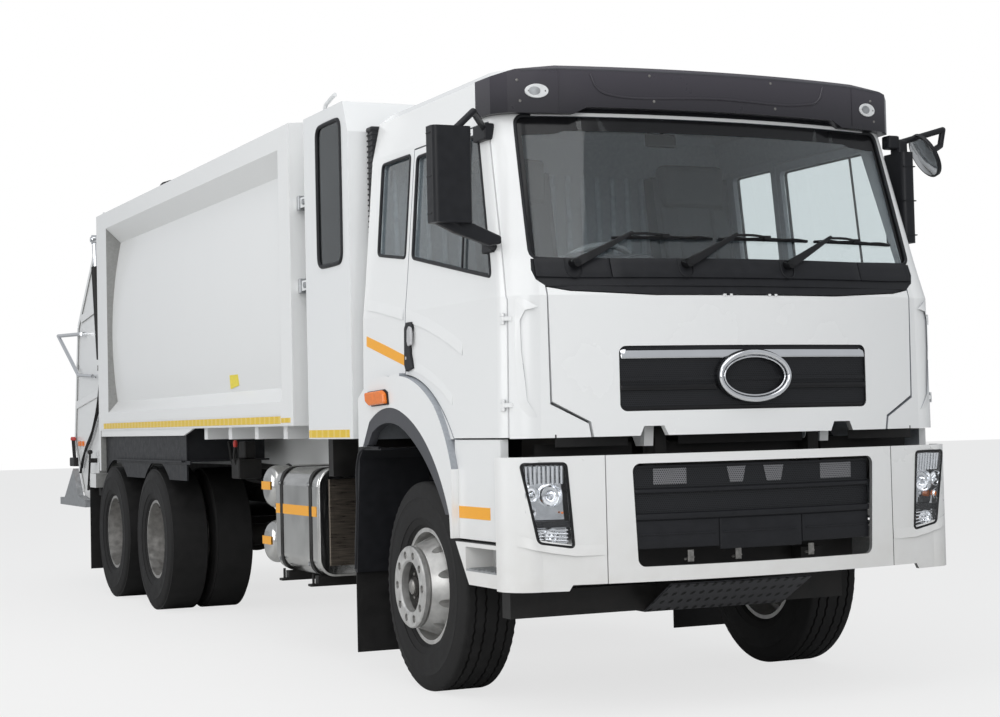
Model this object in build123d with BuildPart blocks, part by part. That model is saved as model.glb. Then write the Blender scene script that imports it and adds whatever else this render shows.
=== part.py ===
from build123d import *
import os
from math import cos, hypot, radians, sin

os.makedirs("parts", exist_ok=True)

# Millimetres. X is across (the driver sits on the -X side), -Y is ahead, Z is up from the ground.
# A station is a distance behind the nose of the bumper; the origin lies nose_to_origin behind it.
nose_to_origin = 5200

# ---- wheels, axles and steering ----
front_axle_station = 1438
middle_axle_station = 6725
rear_axle_station = 8075
wheel_radius = 538
tyre_half_width = 156
tread_half_width = 132
bead_half_width = 106
bead_radius = 292
rim_flange_radius = 300
rim_half_width = 120
rim_wall = 14
front_track_half = 1010
outer_twin_x = 1090
twin_spacing = 345
stud_circle_radius = 167.5
stud_count = 10
spindle_radius = 45
axle_end_radius = 60
running_gap = 0.3
kingpin_x = 860
kingpin_radius = 24
steering_arm_length = 210
tie_rod_radius = 20
hub_z = wheel_radius

# ---- chassis ----
rail_outer_x = 430
rail_flange = 80
rail_web = 8
rail_bottom, rail_top = 800, 1080
rail_front, rail_rear = 330, 8850
subframe_top = 1380
subframe_thickness = 70
underrun_bottom = 455
lamp_box_bottom = 890

# ---- bumper ----
bow_length = 8200          # the front face curves back by x * x / bow_length
bumper_half_width = 1245
bumper_wall = 22
bumper_bottom, bumper_top = 595, 1210
bumper_rear = 327
bumper_corner = 150
bumper_seam_x = 797
bumper_seam_gap = 5
grille_half_width = 670
grille_bottom, grille_top = 691, 1160

# ---- cab ----
cab_wall = 45
cab_corner = 150
cab_bottom = 1295
cab_rear = 2120
cab_floor_bottom, cab_floor_top = 1420, 1465
cab_pivot_station, cab_pivot_z = 250, 1285
belt_z = 1955
windscreen_bottom, windscreen_top = 2128, 2832
glass_inset, glass_thickness = 14, 6
panel_gap = 6
door_gap = 8
firewall_station = 262
front_panel_wall = 35
front_panel_top = 1950
door_front, door_rear = 275, 1490
door_bottom, door_top = 1300, 2805

# height, half width, front station, rear station, share of an inset taken from the height
cab_sections = (
    (cab_bottom, 1215, 60, cab_rear, 0),
    (belt_z, 1205, 60, cab_rear, 0),
    (2130, 1188, 120, cab_rear, 0),
    (2830, 1130, 340, cab_rear, 0),
    (3040, 1085, 430, cab_rear - 5, 1),
    (3085, 1030, 520, cab_rear - 40, 1),
)

# ---- crew cabin and body ----
body_half_width = 1245
crew_front, crew_rear = 2205, 2960
crew_bottom, crew_top = 1300, 3190
crew_wall = 40
body_front, body_rear = 3245, 8500
body_bottom = 1380
post_depth_front, post_depth_rear = 215, 360
bulkhead_thickness = 25

# ---- tailgate ----
tailgate_hinge_station, tailgate_hinge_z = 8350, 3360
tailgate_front = 8520
tailgate_side_x = 1140
tailgate_plate = 40
hinge_pin_radius = 25
hopper_lip, hopper_low = (9970, 1275), (9600, 800)
# station and height of the tailgate's outline, from its top front corner round the back
tailgate_outline = (
    (tailgate_front, 3250), (8700, 3280), (9780, 2340), hopper_lip, hopper_low,
    (9300, 765), (8990, 765), (8990, 1100), (tailgate_front, 1400),
)
slide_start = (8950, 2750)     # blade pivot with the carriage up
slide_direction = (0.537, -0.844)
blade_length = 1100
packer_half_width = 1030
runner_gap = 0.5
lift_low = (8580, 1920)
lift_high = (8800, 3050)
lift_x = 1195
lift_eye_half = 24


def y_at(station):
    return station - nose_to_origin


def side_plane(x):
    """Sketches on it are in stations and heights."""
    return Plane(origin=(x, -nose_to_origin, 0), x_dir=(0, 1, 0), z_dir=(1, 0, 0))


def level_plane(z):
    """Sketches on it are in x and stations."""
    return Plane(origin=(0, -nose_to_origin, z), x_dir=(1, 0, 0), z_dir=(0, 0, 1))


def cross_plane(station):
    """Sketches on it are in x and heights, and extrude rearwards by a negative amount."""
    return Plane(origin=(0, y_at(station), 0), x_dir=(1, 0, 0), z_dir=(0, -1, 0))


def block(x, station, z, mode=Mode.ADD):
    """A box between two values of x, two stations and two heights."""
    with Locations(((x[0] + x[1]) / 2, y_at((station[0] + station[1]) / 2), (z[0] + z[1]) / 2)):
        Box(abs(x[1] - x[0]), abs(station[1] - station[0]), abs(z[1] - z[0]), mode=mode)


def rod(start, end, radius, mode=Mode.ADD):
    """A round bar between two points given as x, station and height."""
    first = Vector(start[0], y_at(start[1]), start[2])
    last = Vector(end[0], y_at(end[1]), end[2])
    with Locations(Plane(origin=first, z_dir=last - first)):
        Cylinder(radius, (last - first).length, align=(Align.CENTER, Align.CENTER, Align.MIN), mode=mode)


def cross_bar(x, station, z, radius, mode=Mode.ADD):
    """A round bar along X between two values of x."""
    rod((x[0], station, z), (x[1], station, z), radius, mode)


def upright(x, station, z, radius, mode=Mode.ADD):
    """An upright round bar between two heights."""
    rod((x, station, z[0]), (x, station, z[1]), radius, mode)


def plate(x, points, mode=Mode.ADD):
    """A flat plate between two values of x, with its outline in stations and heights."""
    with BuildSketch(side_plane(min(x))) as outline:
        with BuildLine():
            Polyline(*points, close=True)
        make_face()
    extrude(outline.sketch, amount=abs(x[1] - x[0]), mode=mode)


def front_cut(points, station, radius=0, mode=Mode.SUBTRACT):
    """An outline in x and heights, carried through two stations."""
    with BuildSketch(cross_plane(station[0])) as outline:
        with BuildLine():
            Polyline(*points, close=True)
        make_face()
        if radius:
            fillet(outline.vertices(), radius)
    extrude(outline.sketch, amount=station[0] - station[1], mode=mode)


def bow_at(x):
    return x * x / bow_length


def plan_face(z, half_width, front, rear, corner, inset=0):
    """A plan section with a bowed front, rounded front corners and straight sides."""
    edge_x = half_width - corner
    radius = corner - inset
    front_mid = front + inset
    front_edge = front_mid + bow_at(edge_x)
    side_x = edge_x + radius
    side_start = front_edge + radius
    arc_x = edge_x + radius * sin(radians(45))
    arc_station = front_edge + radius * (1 - cos(radians(45)))
    with BuildSketch(level_plane(z)) as section:
        with BuildLine():
            ThreePointArc((-edge_x, front_edge), (0, front_mid), (edge_x, front_edge))
            ThreePointArc((edge_x, front_edge), (arc_x, arc_station), (side_x, side_start))
            Polyline((side_x, side_start), (side_x, rear - inset), (-side_x, rear - inset), (-side_x, side_start))
            ThreePointArc((-side_x, side_start), (-arc_x, arc_station), (-edge_x, front_edge))
        make_face()
    return section.sketch


def cab_form(inset):
    """The closed form of the cab, drawn in by an inset on the front, sides, back and roof."""
    faces = [
        plan_face(height - inset * share, half_width, front, rear, cab_corner, inset)
        for height, half_width, front, rear, share in cab_sections
    ]
    with BuildPart() as form:
        loft(faces, ruled=True)
    return form.part


def both_sides(low, high):
    """The x pairs of a left and a right copy."""
    return (low, high), (-high, -low)


def common(form, prisms):
    """What a closed form shares with each of several prisms."""
    with BuildPart() as shared:
        for prism in prisms.solids():
            with BuildPart(mode=Mode.PRIVATE) as one:
                add(form)
                add(prism, mode=Mode.INTERSECT)
            add(one.part)
    return shared.part


# =============== wheels ===============

def tyre_ring(centre_x):
    """One tyre, turned about the X axis from its half section."""
    profile = (
        (bead_half_width, bead_radius), (tyre_half_width, 415), (tyre_half_width - 8, 500),
        (tread_half_width, wheel_radius), (-tread_half_width, wheel_radius),
        (-tyre_half_width + 8, 500), (-tyre_half_width, 415), (-bead_half_width, bead_radius),
    )
    with BuildSketch(Plane.XY) as section:
        with BuildLine():
            Polyline(*[(centre_x + across, radius) for across, radius in profile], close=True)
        make_face()
    revolve(section.sketch, axis=Axis.X)


def wheel_ring(points, mode=Mode.ADD):
    """A body of revolution about X from x and radius pairs."""
    with BuildSketch(Plane.XY) as section:
        with BuildLine():
            Polyline(*points, close=True)
        make_face()
    revolve(section.sketch, axis=Axis.X, mode=mode)


def rim_barrel(centre_x):
    wheel_ring((
        (centre_x - rim_half_width, bead_radius - rim_wall), (centre_x - rim_half_width, rim_flange_radius),
        (centre_x - rim_half_width + 10, rim_flange_radius), (centre_x - rim_half_width + 12, bead_radius),
        (centre_x + rim_half_width - 12, bead_radius), (centre_x + rim_half_width - 10, rim_flange_radius),
        (centre_x + rim_half_width, rim_flange_radius), (centre_x + rim_half_width, bead_radius - rim_wall),
    ))


def hand_holes(centre_x, ring_radius, hole_radius):
    """Ten round hand holes bored along X through a disc."""
    with Locations(Plane.YZ.offset(centre_x)):
        with PolarLocations(ring_radius, stud_count, start_angle=18):
            Cylinder(hole_radius, 160, mode=Mode.SUBTRACT)


def wheel_studs(low_x, high_x):
    with Locations(Plane.YZ.offset((low_x + high_x) / 2)):
        with PolarLocations(stud_circle_radius, stud_count):
            Cylinder(15, high_x - low_x)


front_face_x = front_track_half + 88       # outer face of the front wheel's disc

with BuildPart() as front_tyre:
    tyre_ring(front_track_half)

with BuildPart() as front_rim:
    rim_barrel(front_track_half)
    disc_root = bead_radius - rim_wall
    wheel_ring((
        (front_track_half + 20, disc_root), (front_track_half + 40, disc_root),
        (front_face_x, 215), (front_face_x, 70), (front_face_x - 22, 70), (front_face_x - 22, 205),
    ))
    hand_holes(front_face_x - 40, 240, 24)
    wheel_ring((
        (950, 205), (front_face_x - 22, 205), (front_face_x - 22, 120), (front_face_x + 42, 95),
        (front_face_x + 50, 60), (front_face_x + 50, 0), (1070, 0), (1070, spindle_radius + running_gap),
        (950, spindle_radius + running_gap),
    ))
    wheel_studs(front_face_x - 5, front_face_x + 28)

inner_twin_x = outer_twin_x - twin_spacing
twin_face_x = (outer_twin_x + inner_twin_x) / 2

with BuildPart() as twin_tyres:
    tyre_ring(outer_twin_x)
    tyre_ring(inner_twin_x)

with BuildPart() as twin_rims:
    rim_barrel(outer_twin_x)
    rim_barrel(inner_twin_x)
    wheel_ring((
        (outer_twin_x - 70, disc_root), (outer_twin_x - 90, disc_root),
        (twin_face_x, 215), (twin_face_x, 120), (twin_face_x + 20, 120), (twin_face_x + 20, 205),
    ))
    wheel_ring((
        (inner_twin_x + 70, disc_root), (inner_twin_x + 90, disc_root),
        (twin_face_x, 215), (twin_face_x, 120), (twin_face_x - 20, 120), (twin_face_x - 20, 205),
    ))
    hand_holes(twin_face_x + 30, 240, 24)
    wheel_ring((
        (650, 200), (twin_face_x - 20, 200), (twin_face_x - 20, 135), (twin_face_x + 110, 110),
        (twin_face_x + 125, 80), (twin_face_x + 125, 0), (860, 0), (860, axle_end_radius + running_gap),
        (650, axle_end_radius + running_gap),
    ))
    wheel_studs(twin_face_x + 18, twin_face_x + 55)

pieces = {}
wheel_places = (
    # name, station, turned to the -X side, twin
    ("front_left", front_axle_station, False, False),
    ("front_right", front_axle_station, True, False),
    ("middle_left", middle_axle_station, False, True),
    ("middle_right", middle_axle_station, True, True),
    ("rear_left", rear_axle_station, False, True),
    ("rear_right", rear_axle_station, True, True),
)
for place, station, turned, twin in wheel_places:
    spot = Location((0, y_at(station), hub_z), (0, 0, 180 if turned else 0))
    pieces[f"tyre_{place}"] = (twin_tyres if twin else front_tyre).part.moved(spot)
    pieces[f"rim_{place}"] = (twin_rims if twin else front_rim).part.moved(spot)


# =============== axles and steering ===============

beam_low, beam_high = hub_z - 110, hub_z - 20
spring_x = 420
spring_half_width = 40

with BuildPart() as front_axle:
    # dropped beam with a round bored eye for each kingpin
    eye_half = 45
    with BuildSketch(cross_plane(front_axle_station - 55)) as beam:
        with BuildLine():
            Polyline(
                (-kingpin_x, hub_z + eye_half), (-kingpin_x, hub_z - eye_half),
                (-kingpin_x + 75, hub_z - eye_half), (-640, beam_low), (640, beam_low),
                (kingpin_x - 75, hub_z - eye_half), (kingpin_x, hub_z - eye_half),
                (kingpin_x, hub_z + eye_half), (kingpin_x - 75, hub_z + eye_half),
                (600, beam_high), (-600, beam_high), (-kingpin_x + 75, hub_z + eye_half), close=True,
            )
        make_face()
    extrude(beam.sketch, amount=-110)
    for x in (-kingpin_x, kingpin_x):
        upright(x, front_axle_station, (hub_z - eye_half, hub_z + eye_half), eye_half)
        upright(x, front_axle_station, (hub_z - 60, hub_z + 60), kingpin_radius + running_gap, Mode.SUBTRACT)
    # leaf springs, shackle hangers and axle pads
    for x in both_sides(spring_x - spring_half_width, spring_x + spring_half_width):
        with BuildSketch(side_plane(x[0])) as leaves:
            with BuildLine():
                arch = ThreePointArc((front_axle_station - 800, 735), (front_axle_station, 590),
                                     (front_axle_station + 800, 735))
                crown = ThreePointArc((front_axle_station - 800, 785), (front_axle_station, 665),
                                      (front_axle_station + 800, 785))
                Line(arch @ 0, crown @ 0)
                Line(arch @ 1, crown @ 1)
            make_face()
        extrude(leaves.sketch, amount=2 * spring_half_width)
        block(x, (front_axle_station - 60, front_axle_station + 60), (beam_high - 1, 612))
        for end in (-1, 1):
            middle = front_axle_station + end * 790
            block(x, (middle - 35, middle + 35), (720, rail_bottom))

differential_radius = 215
input_reach = 330
with BuildPart() as drive_axles:
    for station in (middle_axle_station, rear_axle_station):
        cross_bar((-600, 600), station, hub_z, 85)
        cross_bar((-850, 850), station, hub_z, axle_end_radius)
        with Locations((0, y_at(station), hub_z)):
            Sphere(differential_radius)
        block((-110, 110), (station - input_reach, station), (hub_z - 90, hub_z + 90))
        for x in both_sides(500, 580):
            block(x, (station - 90, station + 90), (hub_z, hub_z + 105))
    bogie_station = (middle_axle_station + rear_axle_station) / 2
    # the trunnion springs lie on both axles and turn on a cross tube below the rails
    for x in both_sides(500, 580):
        with BuildSketch(side_plane(x[0])) as leaves:
            with BuildLine():
                low = ThreePointArc((middle_axle_station - 90, 640), (bogie_station, 590),
                                    (rear_axle_station + 90, 640))
                high = ThreePointArc((middle_axle_station - 90, 690), (bogie_station, 740),
                                     (rear_axle_station + 90, 690))
                Line(low @ 0, high @ 0)
                Line(low @ 1, high @ 1)
            make_face()
        extrude(leaves.sketch, amount=80)
        block(x, (bogie_station - 110, bogie_station + 110), (390, 620))
    cross_bar((-570, 570), bogie_station, 435, 50)
    for x in both_sides(rail_outer_x, rail_outer_x + 25):
        plate(x, ((bogie_station - 90, 380), (bogie_station + 90, 380), (bogie_station + 260, rail_top - 60),
                  (bogie_station - 260, rail_top - 60)))

pieces["front_axle"] = front_axle.part
pieces["drive_axles"] = drive_axles.part


def knuckle(side):
    """Forked knuckle with its spindle and its steering arm; side is 1 for +X and -1 for -X."""
    with BuildPart() as part:
        for low, high in ((-85, -46), (46, 85)):
            block((side * (kingpin_x - 45), side * 948), (front_axle_station - 45, front_axle_station + 45),
                  (hub_z + low, hub_z + high))
        block((side * (kingpin_x + 51), side * 948), (front_axle_station - 60, front_axle_station + 60),
              (hub_z - 85, hub_z + 85))
        upright(side * kingpin_x, front_axle_station, (hub_z - 84, hub_z + 84), kingpin_radius)
        cross_bar((side * 940, side * 1069), front_axle_station, hub_z, spindle_radius)
        block((side * (kingpin_x - 30), side * (kingpin_x + 30)),
              (front_axle_station + 40, front_axle_station + steering_arm_length + 30), (hub_z - 85, hub_z - 55))
    return part.part


pieces["knuckle_left"] = knuckle(1)
pieces["knuckle_right"] = knuckle(-1)

tie_rod_station = front_axle_station + steering_arm_length
tie_rod_z = hub_z - 85 - running_gap - tie_rod_radius - 8
with BuildPart() as tie_rod:
    cross_bar((-kingpin_x, kingpin_x), tie_rod_station, tie_rod_z, tie_rod_radius)
    for x in (-kingpin_x, kingpin_x):
        rod((x, tie_rod_station, tie_rod_z - 28), (x, tie_rod_station, tie_rod_z + 28), 26)
pieces["tie_rod"] = tie_rod.part


# =============== chassis ===============

cross_member_stations = (2800, 3500, 4200, 5300, 6250, 7400, 8600)
nose_rear = rail_front + 20
nose_block_x, nose_block_front = 700, rail_front - 40
tow_bore_radius = 22
tow_x, tow_station, tow_z = 385, 230, 700
tow_thickness = 60

with BuildPart() as frame_rails:
    # channels, open towards the middle
    for side in (1, -1):
        outer, inner = side * rail_outer_x, side * (rail_outer_x - rail_flange)
        web = side * (rail_outer_x - rail_web)
        with BuildSketch(cross_plane(nose_rear)) as channel:
            with BuildLine():
                Polyline(
                    (outer, rail_bottom), (outer, rail_top), (inner, rail_top), (inner, rail_top - rail_web),
                    (web, rail_top - rail_web), (web, rail_bottom + rail_web), (inner, rail_bottom + rail_web),
                    (inner, rail_bottom), close=True,
                )
            make_face()
        extrude(channel.sketch, amount=nose_rear - rail_rear)

with BuildPart() as cross_members:
    inside = rail_outer_x - rail_web
    for station in cross_member_stations:
        block((-inside, inside), (station - 50, station + 50), (rail_bottom + 100, rail_top - 40))

with BuildPart() as frame_nose:
    # nose member and cab pivot posts
    block((-620, 620), (rail_front - 60, nose_rear), (640, rail_top))
    for x in both_sides(400, 460):
        plate(x, ((cab_pivot_station - 45, rail_top - 60), (cab_pivot_station + 60, rail_top - 60),
                  (cab_pivot_station + 40, cab_pivot_z + 45), (cab_pivot_station - 40, cab_pivot_z + 45)))
    for x in both_sides(615, nose_block_x):
        block(x, (nose_block_front, nose_rear), (660, 1060))
    cross_bar((-470, 470), cab_pivot_station, cab_pivot_z, hinge_pin_radius + running_gap, Mode.SUBTRACT)
    # panels that close the gap above the bumper
    block((-460, 460), (300, rail_front), (rail_top - 1, 1265))
    for x in both_sides(535, 1050):
        block(x, (300, rail_front), (1040, 1265))

with BuildPart() as tow_jaw:
    block((tow_x - 60, tow_x + 60), (tow_station - 45, rail_front - 60),
          (tow_z - tow_thickness / 2, tow_z + tow_thickness / 2))
    upright(tow_x, tow_station, (tow_z - tow_thickness, tow_z + tow_thickness), tow_bore_radius, Mode.SUBTRACT)

with BuildPart() as frame_brackets:
    # beam for the lamp boxes and flaps
    for x in ((-1180, -rail_outer_x), (rail_web - rail_outer_x, rail_outer_x - rail_web), (rail_outer_x, 1180)):
        block(x, (8740, 8840), (rail_bottom + 20, lamp_box_bottom))
    # tank and battery box brackets
    for station in (3085, 3640):
        for side in (1, -1):
            block((side * rail_outer_x, side * 1170), (station - 30, station + 30), (435, 485))
            block((side * rail_outer_x, side * (rail_outer_x + 60)), (station - 30, station + 30),
                  (435, rail_top - 80))
    # crew cabin outriggers
    for station in (2350, 2850):
        block((-1150, 1150), (station - 40, station + 40), (rail_top, crew_bottom))

with BuildPart() as underrun:
    # beam that carries the guard plate
    block((-1150, 700), (390, 480), (underrun_bottom, 580))
    for x in both_sides(360, 420):
        block(x, (400, 470), (570, rail_bottom))

with BuildPart() as cab_rest:
    for x in both_sides(360, 420):
        block(x, (cab_rear - 42, cab_rear - 2), (rail_top, cab_bottom - 6))
    block((-420, 420), (cab_rear - 42, cab_rear - 2), (cab_bottom - 60, cab_bottom - 6))

chassis_parts = (frame_rails, cross_members, frame_nose, tow_jaw, frame_brackets, underrun, cab_rest)
chassis_frame = Compound([solid for piece in chassis_parts for solid in piece.part.solids()])
pieces["chassis_frame"] = chassis_frame

with BuildPart() as guard_plate:
    plate((-440, 340), ((120, 590), (132, 598), (390, underrun_bottom), (480, underrun_bottom),
                        (480, underrun_bottom - 10), (388, underrun_bottom - 10)))
pieces["guard_plate"] = guard_plate.part

with BuildPart() as engine_block:
    block((-340, 340), (800, 1950), (620, 1330))
    block((-340, 340), (500, 600), (660, 1190))
    for x in both_sides(300, rail_outer_x - rail_web):
        block(x, (1150, 1250), (rail_bottom + 20, rail_bottom + 120))
    block((-340, 340), (600, 640), (rail_bottom, rail_bottom + 60))
    block((-60, 60), (600, 800), (900, 960))
pieces["engine_block"] = engine_block.part

with BuildPart() as driveline:
    block((-240, 240), (1950, 2150), (650, 1150))
    block((-180, 180), (2150, 2700), (700, 1040))
    rod((0, 2690, 820), (0, 5300, 720), 55)
    rod((0, 5300, 720), (0, middle_axle_station - input_reach - 8, hub_z + 20), 55)
    rod((0, middle_axle_station + differential_radius + running_gap, hub_z),
        (0, rear_axle_station - input_reach - running_gap, hub_z), 45)
    block((-60, 60), (5260, 5340), (650, rail_bottom + 100))
    # silencer hung on the +X side of the frame
    with Locations(Location((700, y_at(4250), 720), (90, 0, 0))):
        Cylinder(190, 560)
    block((rail_outer_x, 700), (4200, 4300), (880, 940))
    pipe = ((200, 2050, 690), (565, 2900, 630), (565, 3900, 630), (650, 4000, 700))
    for start, end in zip(pipe, pipe[1:]):
        rod(start, end, 42)
    for x, station, z in pipe[1:3]:
        with Locations((x, y_at(station), z)):
            Sphere(42)
pieces["driveline"] = driveline.part

tank_front, tank_rear = 2960, 3770
tank_bottom, tank_top = 485, 1126
with BuildPart() as fuel_tank:
    block((-1200, -560), (tank_front, tank_rear), (tank_bottom, tank_top))
    fillet(fuel_tank.edges().filter_by(Axis.Y), 110)
    fillet(fuel_tank.edges().filter_by(Axis.Z) + fuel_tank.faces().filter_by(Axis.Y).edges(), 18)
    rod((-900, 3270, tank_top - 5), (-900, 3270, tank_top + 45), 52)
pieces["fuel_tank"] = fuel_tank.part

air_tank_radius = 135
with BuildPart() as air_tanks:
    for z in (997, 651):
        rod((-1200, 3950, z), (-560, 3950, z), air_tank_radius)
    fillet(air_tanks.edges().filter_by(GeomType.CIRCLE), 70)
    block((-680, -640), (3900, 4000), (651, 1000))
    block((-660, -rail_outer_x), (3925, 3975), (rail_bottom + 40, rail_bottom + 100))
pieces["air_tanks"] = air_tanks.part

with BuildPart() as battery_box:
    block((640, 1180), (2990, 3740), (tank_bottom, 960))
    fillet(battery_box.edges().filter_by(Axis.X), 20)
pieces["battery_box"] = battery_box.part


# =============== bumper, grille, lamps and steps ===============

bumper_edge_x = bumper_half_width - bumper_corner
lamp_outlines = [
    ((side * 950, 790), (side * 1114, 816), (side * 1186, 1182), (side * 978, 1180)) for side in (1, -1)
]
with BuildPart() as bumper:
    bumper_height = bumper_top - bumper_bottom
    extrude(plan_face(bumper_bottom, bumper_half_width, 0, bumper_rear, bumper_corner), amount=bumper_height)
    extrude(plan_face(bumper_bottom, bumper_half_width, 0, bumper_rear + 2 * bumper_wall, bumper_corner,
                      bumper_wall), amount=bumper_height, mode=Mode.SUBTRACT)
    # air opening, lamp pockets, seams and the step up of the lower edge in the middle
    front_cut(
        ((-grille_half_width + 20, grille_bottom), (grille_half_width - 20, grille_bottom),
         (grille_half_width, grille_top + 8), (-grille_half_width, grille_top + 8)),
        (-50, 250), radius=38,
    )
    for outline in lamp_outlines:
        front_cut(outline, (-50, 300), radius=22)
    for side in (1, -1):
        block((side * (bumper_seam_x - bumper_seam_gap / 2), side * (bumper_seam_x + bumper_seam_gap / 2)),
              (-50, 300), (bumper_bottom - 10, bumper_top + 10), Mode.SUBTRACT)
    front_cut(((-1000, 560), (1000, 560), (960, 622), (-960, 622)), (-50, 300))
    # struts from the nose of the frame to the middle and to each corner
    for x in both_sides(676, 698):
        block(x, (12 + bow_at(687), nose_block_front), (760, 820))
    for x in both_sides(nose_block_x, 860):
        block(x, (nose_block_front, rail_front), (860, 920))
    for x in both_sides(830, 860):
        block(x, (12 + bow_at(845), nose_block_front + 1), (860, 920))
pieces["bumper"] = bumper.part

# height, thickness and lean of the bars between the mesh rows
with BuildPart() as lower_grille:
    for low, high, inset, depth in ((1042, 1150, 30, 8), (930, 1030, 34, 8), (770, 915, 30, 14)):
        half = grille_half_width - 18
        with BuildSketch(level_plane(low)) as band:
            with BuildLine():
                near = ThreePointArc((-half, inset + bow_at(half)), (0, inset), (half, inset + bow_at(half)))
                far = ThreePointArc((-half, inset + depth + bow_at(half)), (0, inset + depth),
                                    (half, inset + depth + bow_at(half)))
                Line(near @ 0, far @ 0)
                Line(near @ 1, far @ 1)
            make_face()
        extrude(band.sketch, amount=high - low)
    for low, high in ((1028, 1044), (913, 932)):
        half = grille_half_width - 18
        with BuildSketch(level_plane(low)) as bar:
            with BuildLine():
                near = ThreePointArc((-half, 24 + bow_at(half)), (0, 24), (half, 24 + bow_at(half)))
                far = ThreePointArc((-half, 48 + bow_at(half)), (0, 48), (half, 48 + bow_at(half)))
                Line(near @ 0, far @ 0)
                Line(near @ 1, far @ 1)
            make_face()
        extrude(bar.sketch, amount=high - low)
    # struts back to the nose member
    for x in both_sides(500, 540):
        block(x, (30 + bow_at(520), rail_front - 60), (800, 860))
pieces["lower_grille"] = lower_grille.part

with BuildPart() as lamp_prisms:
    for outline in lamp_outlines:
        front_cut(outline, (-50, 300), radius=22, mode=Mode.ADD)
with BuildPart() as lens_band:
    extrude(plan_face(780, bumper_half_width, 0, bumper_rear + 100, bumper_corner, 3), amount=410)
    extrude(plan_face(780, bumper_half_width, 0, bumper_rear + 200, bumper_corner, 48), amount=410,
            mode=Mode.SUBTRACT)
with BuildPart() as headlamps:
    add(common(lens_band.part, lamp_prisms.part))
pieces["headlamps"] = headlamps.part

with BuildPart() as step_boxes:
    for side in (1, -1):
        plate((side * 1000, side * 1222), ((335, 600), (700, 600), (855, 800), (335, 800)))
        block((side * 1080, side * 1230), (330, 735), (665, 780), Mode.SUBTRACT)
        block((side * rail_outer_x, side * 1010), (520, 580), (740, 800))
        block((side * rail_outer_x, side * (rail_outer_x + 30)), (510, 590), (740, 860))
pieces["step_boxes"] = step_boxes.part

flap_front = 2300
flap_rear = 8930
with BuildPart() as mudguards:
    # bent guards behind the front wheels, on a bracket from the frame
    for side in (1, -1):
        plate((side * 800, side * 1215), ((1860, 1238), (2140, 1238), (2190, 1190), (2262, 560),
                                          (flap_front, 560), (flap_front, 700), (2228, 1215), (2160, 1248),
                                          (1860, 1248)))
        block((side * rail_outer_x, side * 805), (2150, 2210), (1000, 1060))
    # flat guards and side screens over the twin wheels
    for side in (1, -1):
        block((side * 575, side * 1240), (5850, 8050), (1135, 1147))
        block((side * 1190, side * 1202), (5850, 8430), (1000, 1330))
        for station in (middle_axle_station, rear_axle_station):
            cross_bar((side * 1180, side * 1212), station, hub_z, wheel_radius + 62, Mode.SUBTRACT)
        for station in (5900, 7350, 8000):
            block((side * 600, side * 1195), (station - 15, station + 15), (1146, body_bottom))
pieces["mudguards"] = mudguards.part

with BuildPart() as mudflaps:
    for side in (1, -1):
        block((side * 810, side * 1205), (flap_front, flap_front + 10), (116, 690))
        block((side * 600, side * 1235), (flap_rear, flap_rear + 12), (180, 960))
pieces["mudflaps"] = mudflaps.part


# =============== cab ===============

def mirrored(points):
    """A right-hand half outline followed by its mirror image, in x and heights."""
    return points + tuple((-x, z) for x, z in reversed(points))


# front panel and the opening it swings out of, from the bottom up
panel_outline = mirrored(((818, cab_bottom), (830, 1365), (1008, 1462), (1016, 1992), (911, 1972), (675, 1959),
                          (500, front_panel_top)))
panel_opening = mirrored(((830, cab_bottom - 10), (842, 1357), (1018, 1450), (1023, 2020), (500, 1990)))
cowl_outline = mirrored(((1070, windscreen_bottom), (1076, 2074), (1062, 2030), (1022, 2000), (911, 1978), (675, 1965),
                         (500, front_panel_top + panel_gap)))
windscreen_outline = ((-1070, windscreen_bottom), (1070, windscreen_bottom),
                      (1035, windscreen_top), (-1035, windscreen_top))


def side_start(side):
    """Where a prism through one side wall starts."""
    return 890 if side > 0 else -1290


def door_prism(side, margin=0):
    """The door's outline: leaning front edge, level sill and an arc over the wheel."""
    with BuildPart() as prism:
        with BuildSketch(side_plane(side_start(side))) as outline:
            with BuildLine():
                low, high = door_bottom - margin, door_top + margin
                front, rear = door_front - margin, door_rear + margin
                sill_end = (860 + 0.4 * margin, low)
                arc_end = (rear, 1632 - 0.9 * margin)
                Polyline(sill_end, (front, low), (front, belt_z - 20), (570 - margin, high), (rear, high), arc_end)
                ThreePointArc(arc_end, (1085 + 0.5 * margin, 1500 - 0.9 * margin), sill_end)
            make_face()
        extrude(outline.sketch, amount=400)
    return prism.part


def window_prism(side, edges):
    """A window outline with rounded corners, carried through one side wall."""
    with BuildPart() as prism:
        with BuildSketch(side_plane(side_start(side))) as outline:
            with BuildLine():
                Polyline(*edges, close=True)
            make_face()
            fillet(outline.vertices(), 30)
        extrude(outline.sketch, amount=400)
    return prism.part


def arch_prism(side):
    """The wheel's opening under the flare's lip."""
    with BuildPart() as prism:
        with BuildSketch(side_plane(side_start(side))) as outline:
            with BuildLine():
                ThreePointArc((872, 927), (1120, 1250), (1460, 1432))
                ThreePointArc((1460, 1432), (1720, 1460), (1950, 1392))
                Polyline((1950, 1392), (2055, 1258), (2055, 800), (872, 800), (872, 927))
            make_face()
        extrude(outline.sketch, amount=400)
    return prism.part


def door_hinge_x(z):
    """How far out the doors' leaning hinge line lies at a height."""
    return 1211 - (z - 1300) * 0.0153


door_hinge_station = 285
door_hinge_heights = (1450, 1850)
hinge_eye_radius, hinge_wire_radius = 7, 4


def door_knuckle(side, z, half_height, radius, mode=Mode.ADD):
    """A round piece on a door's hinge line, from half_height below z to half_height above it."""
    low, high = z - half_height, z + half_height
    rod((side * door_hinge_x(low), door_hinge_station, low), (side * door_hinge_x(high), door_hinge_station, high),
        radius, mode)


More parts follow.
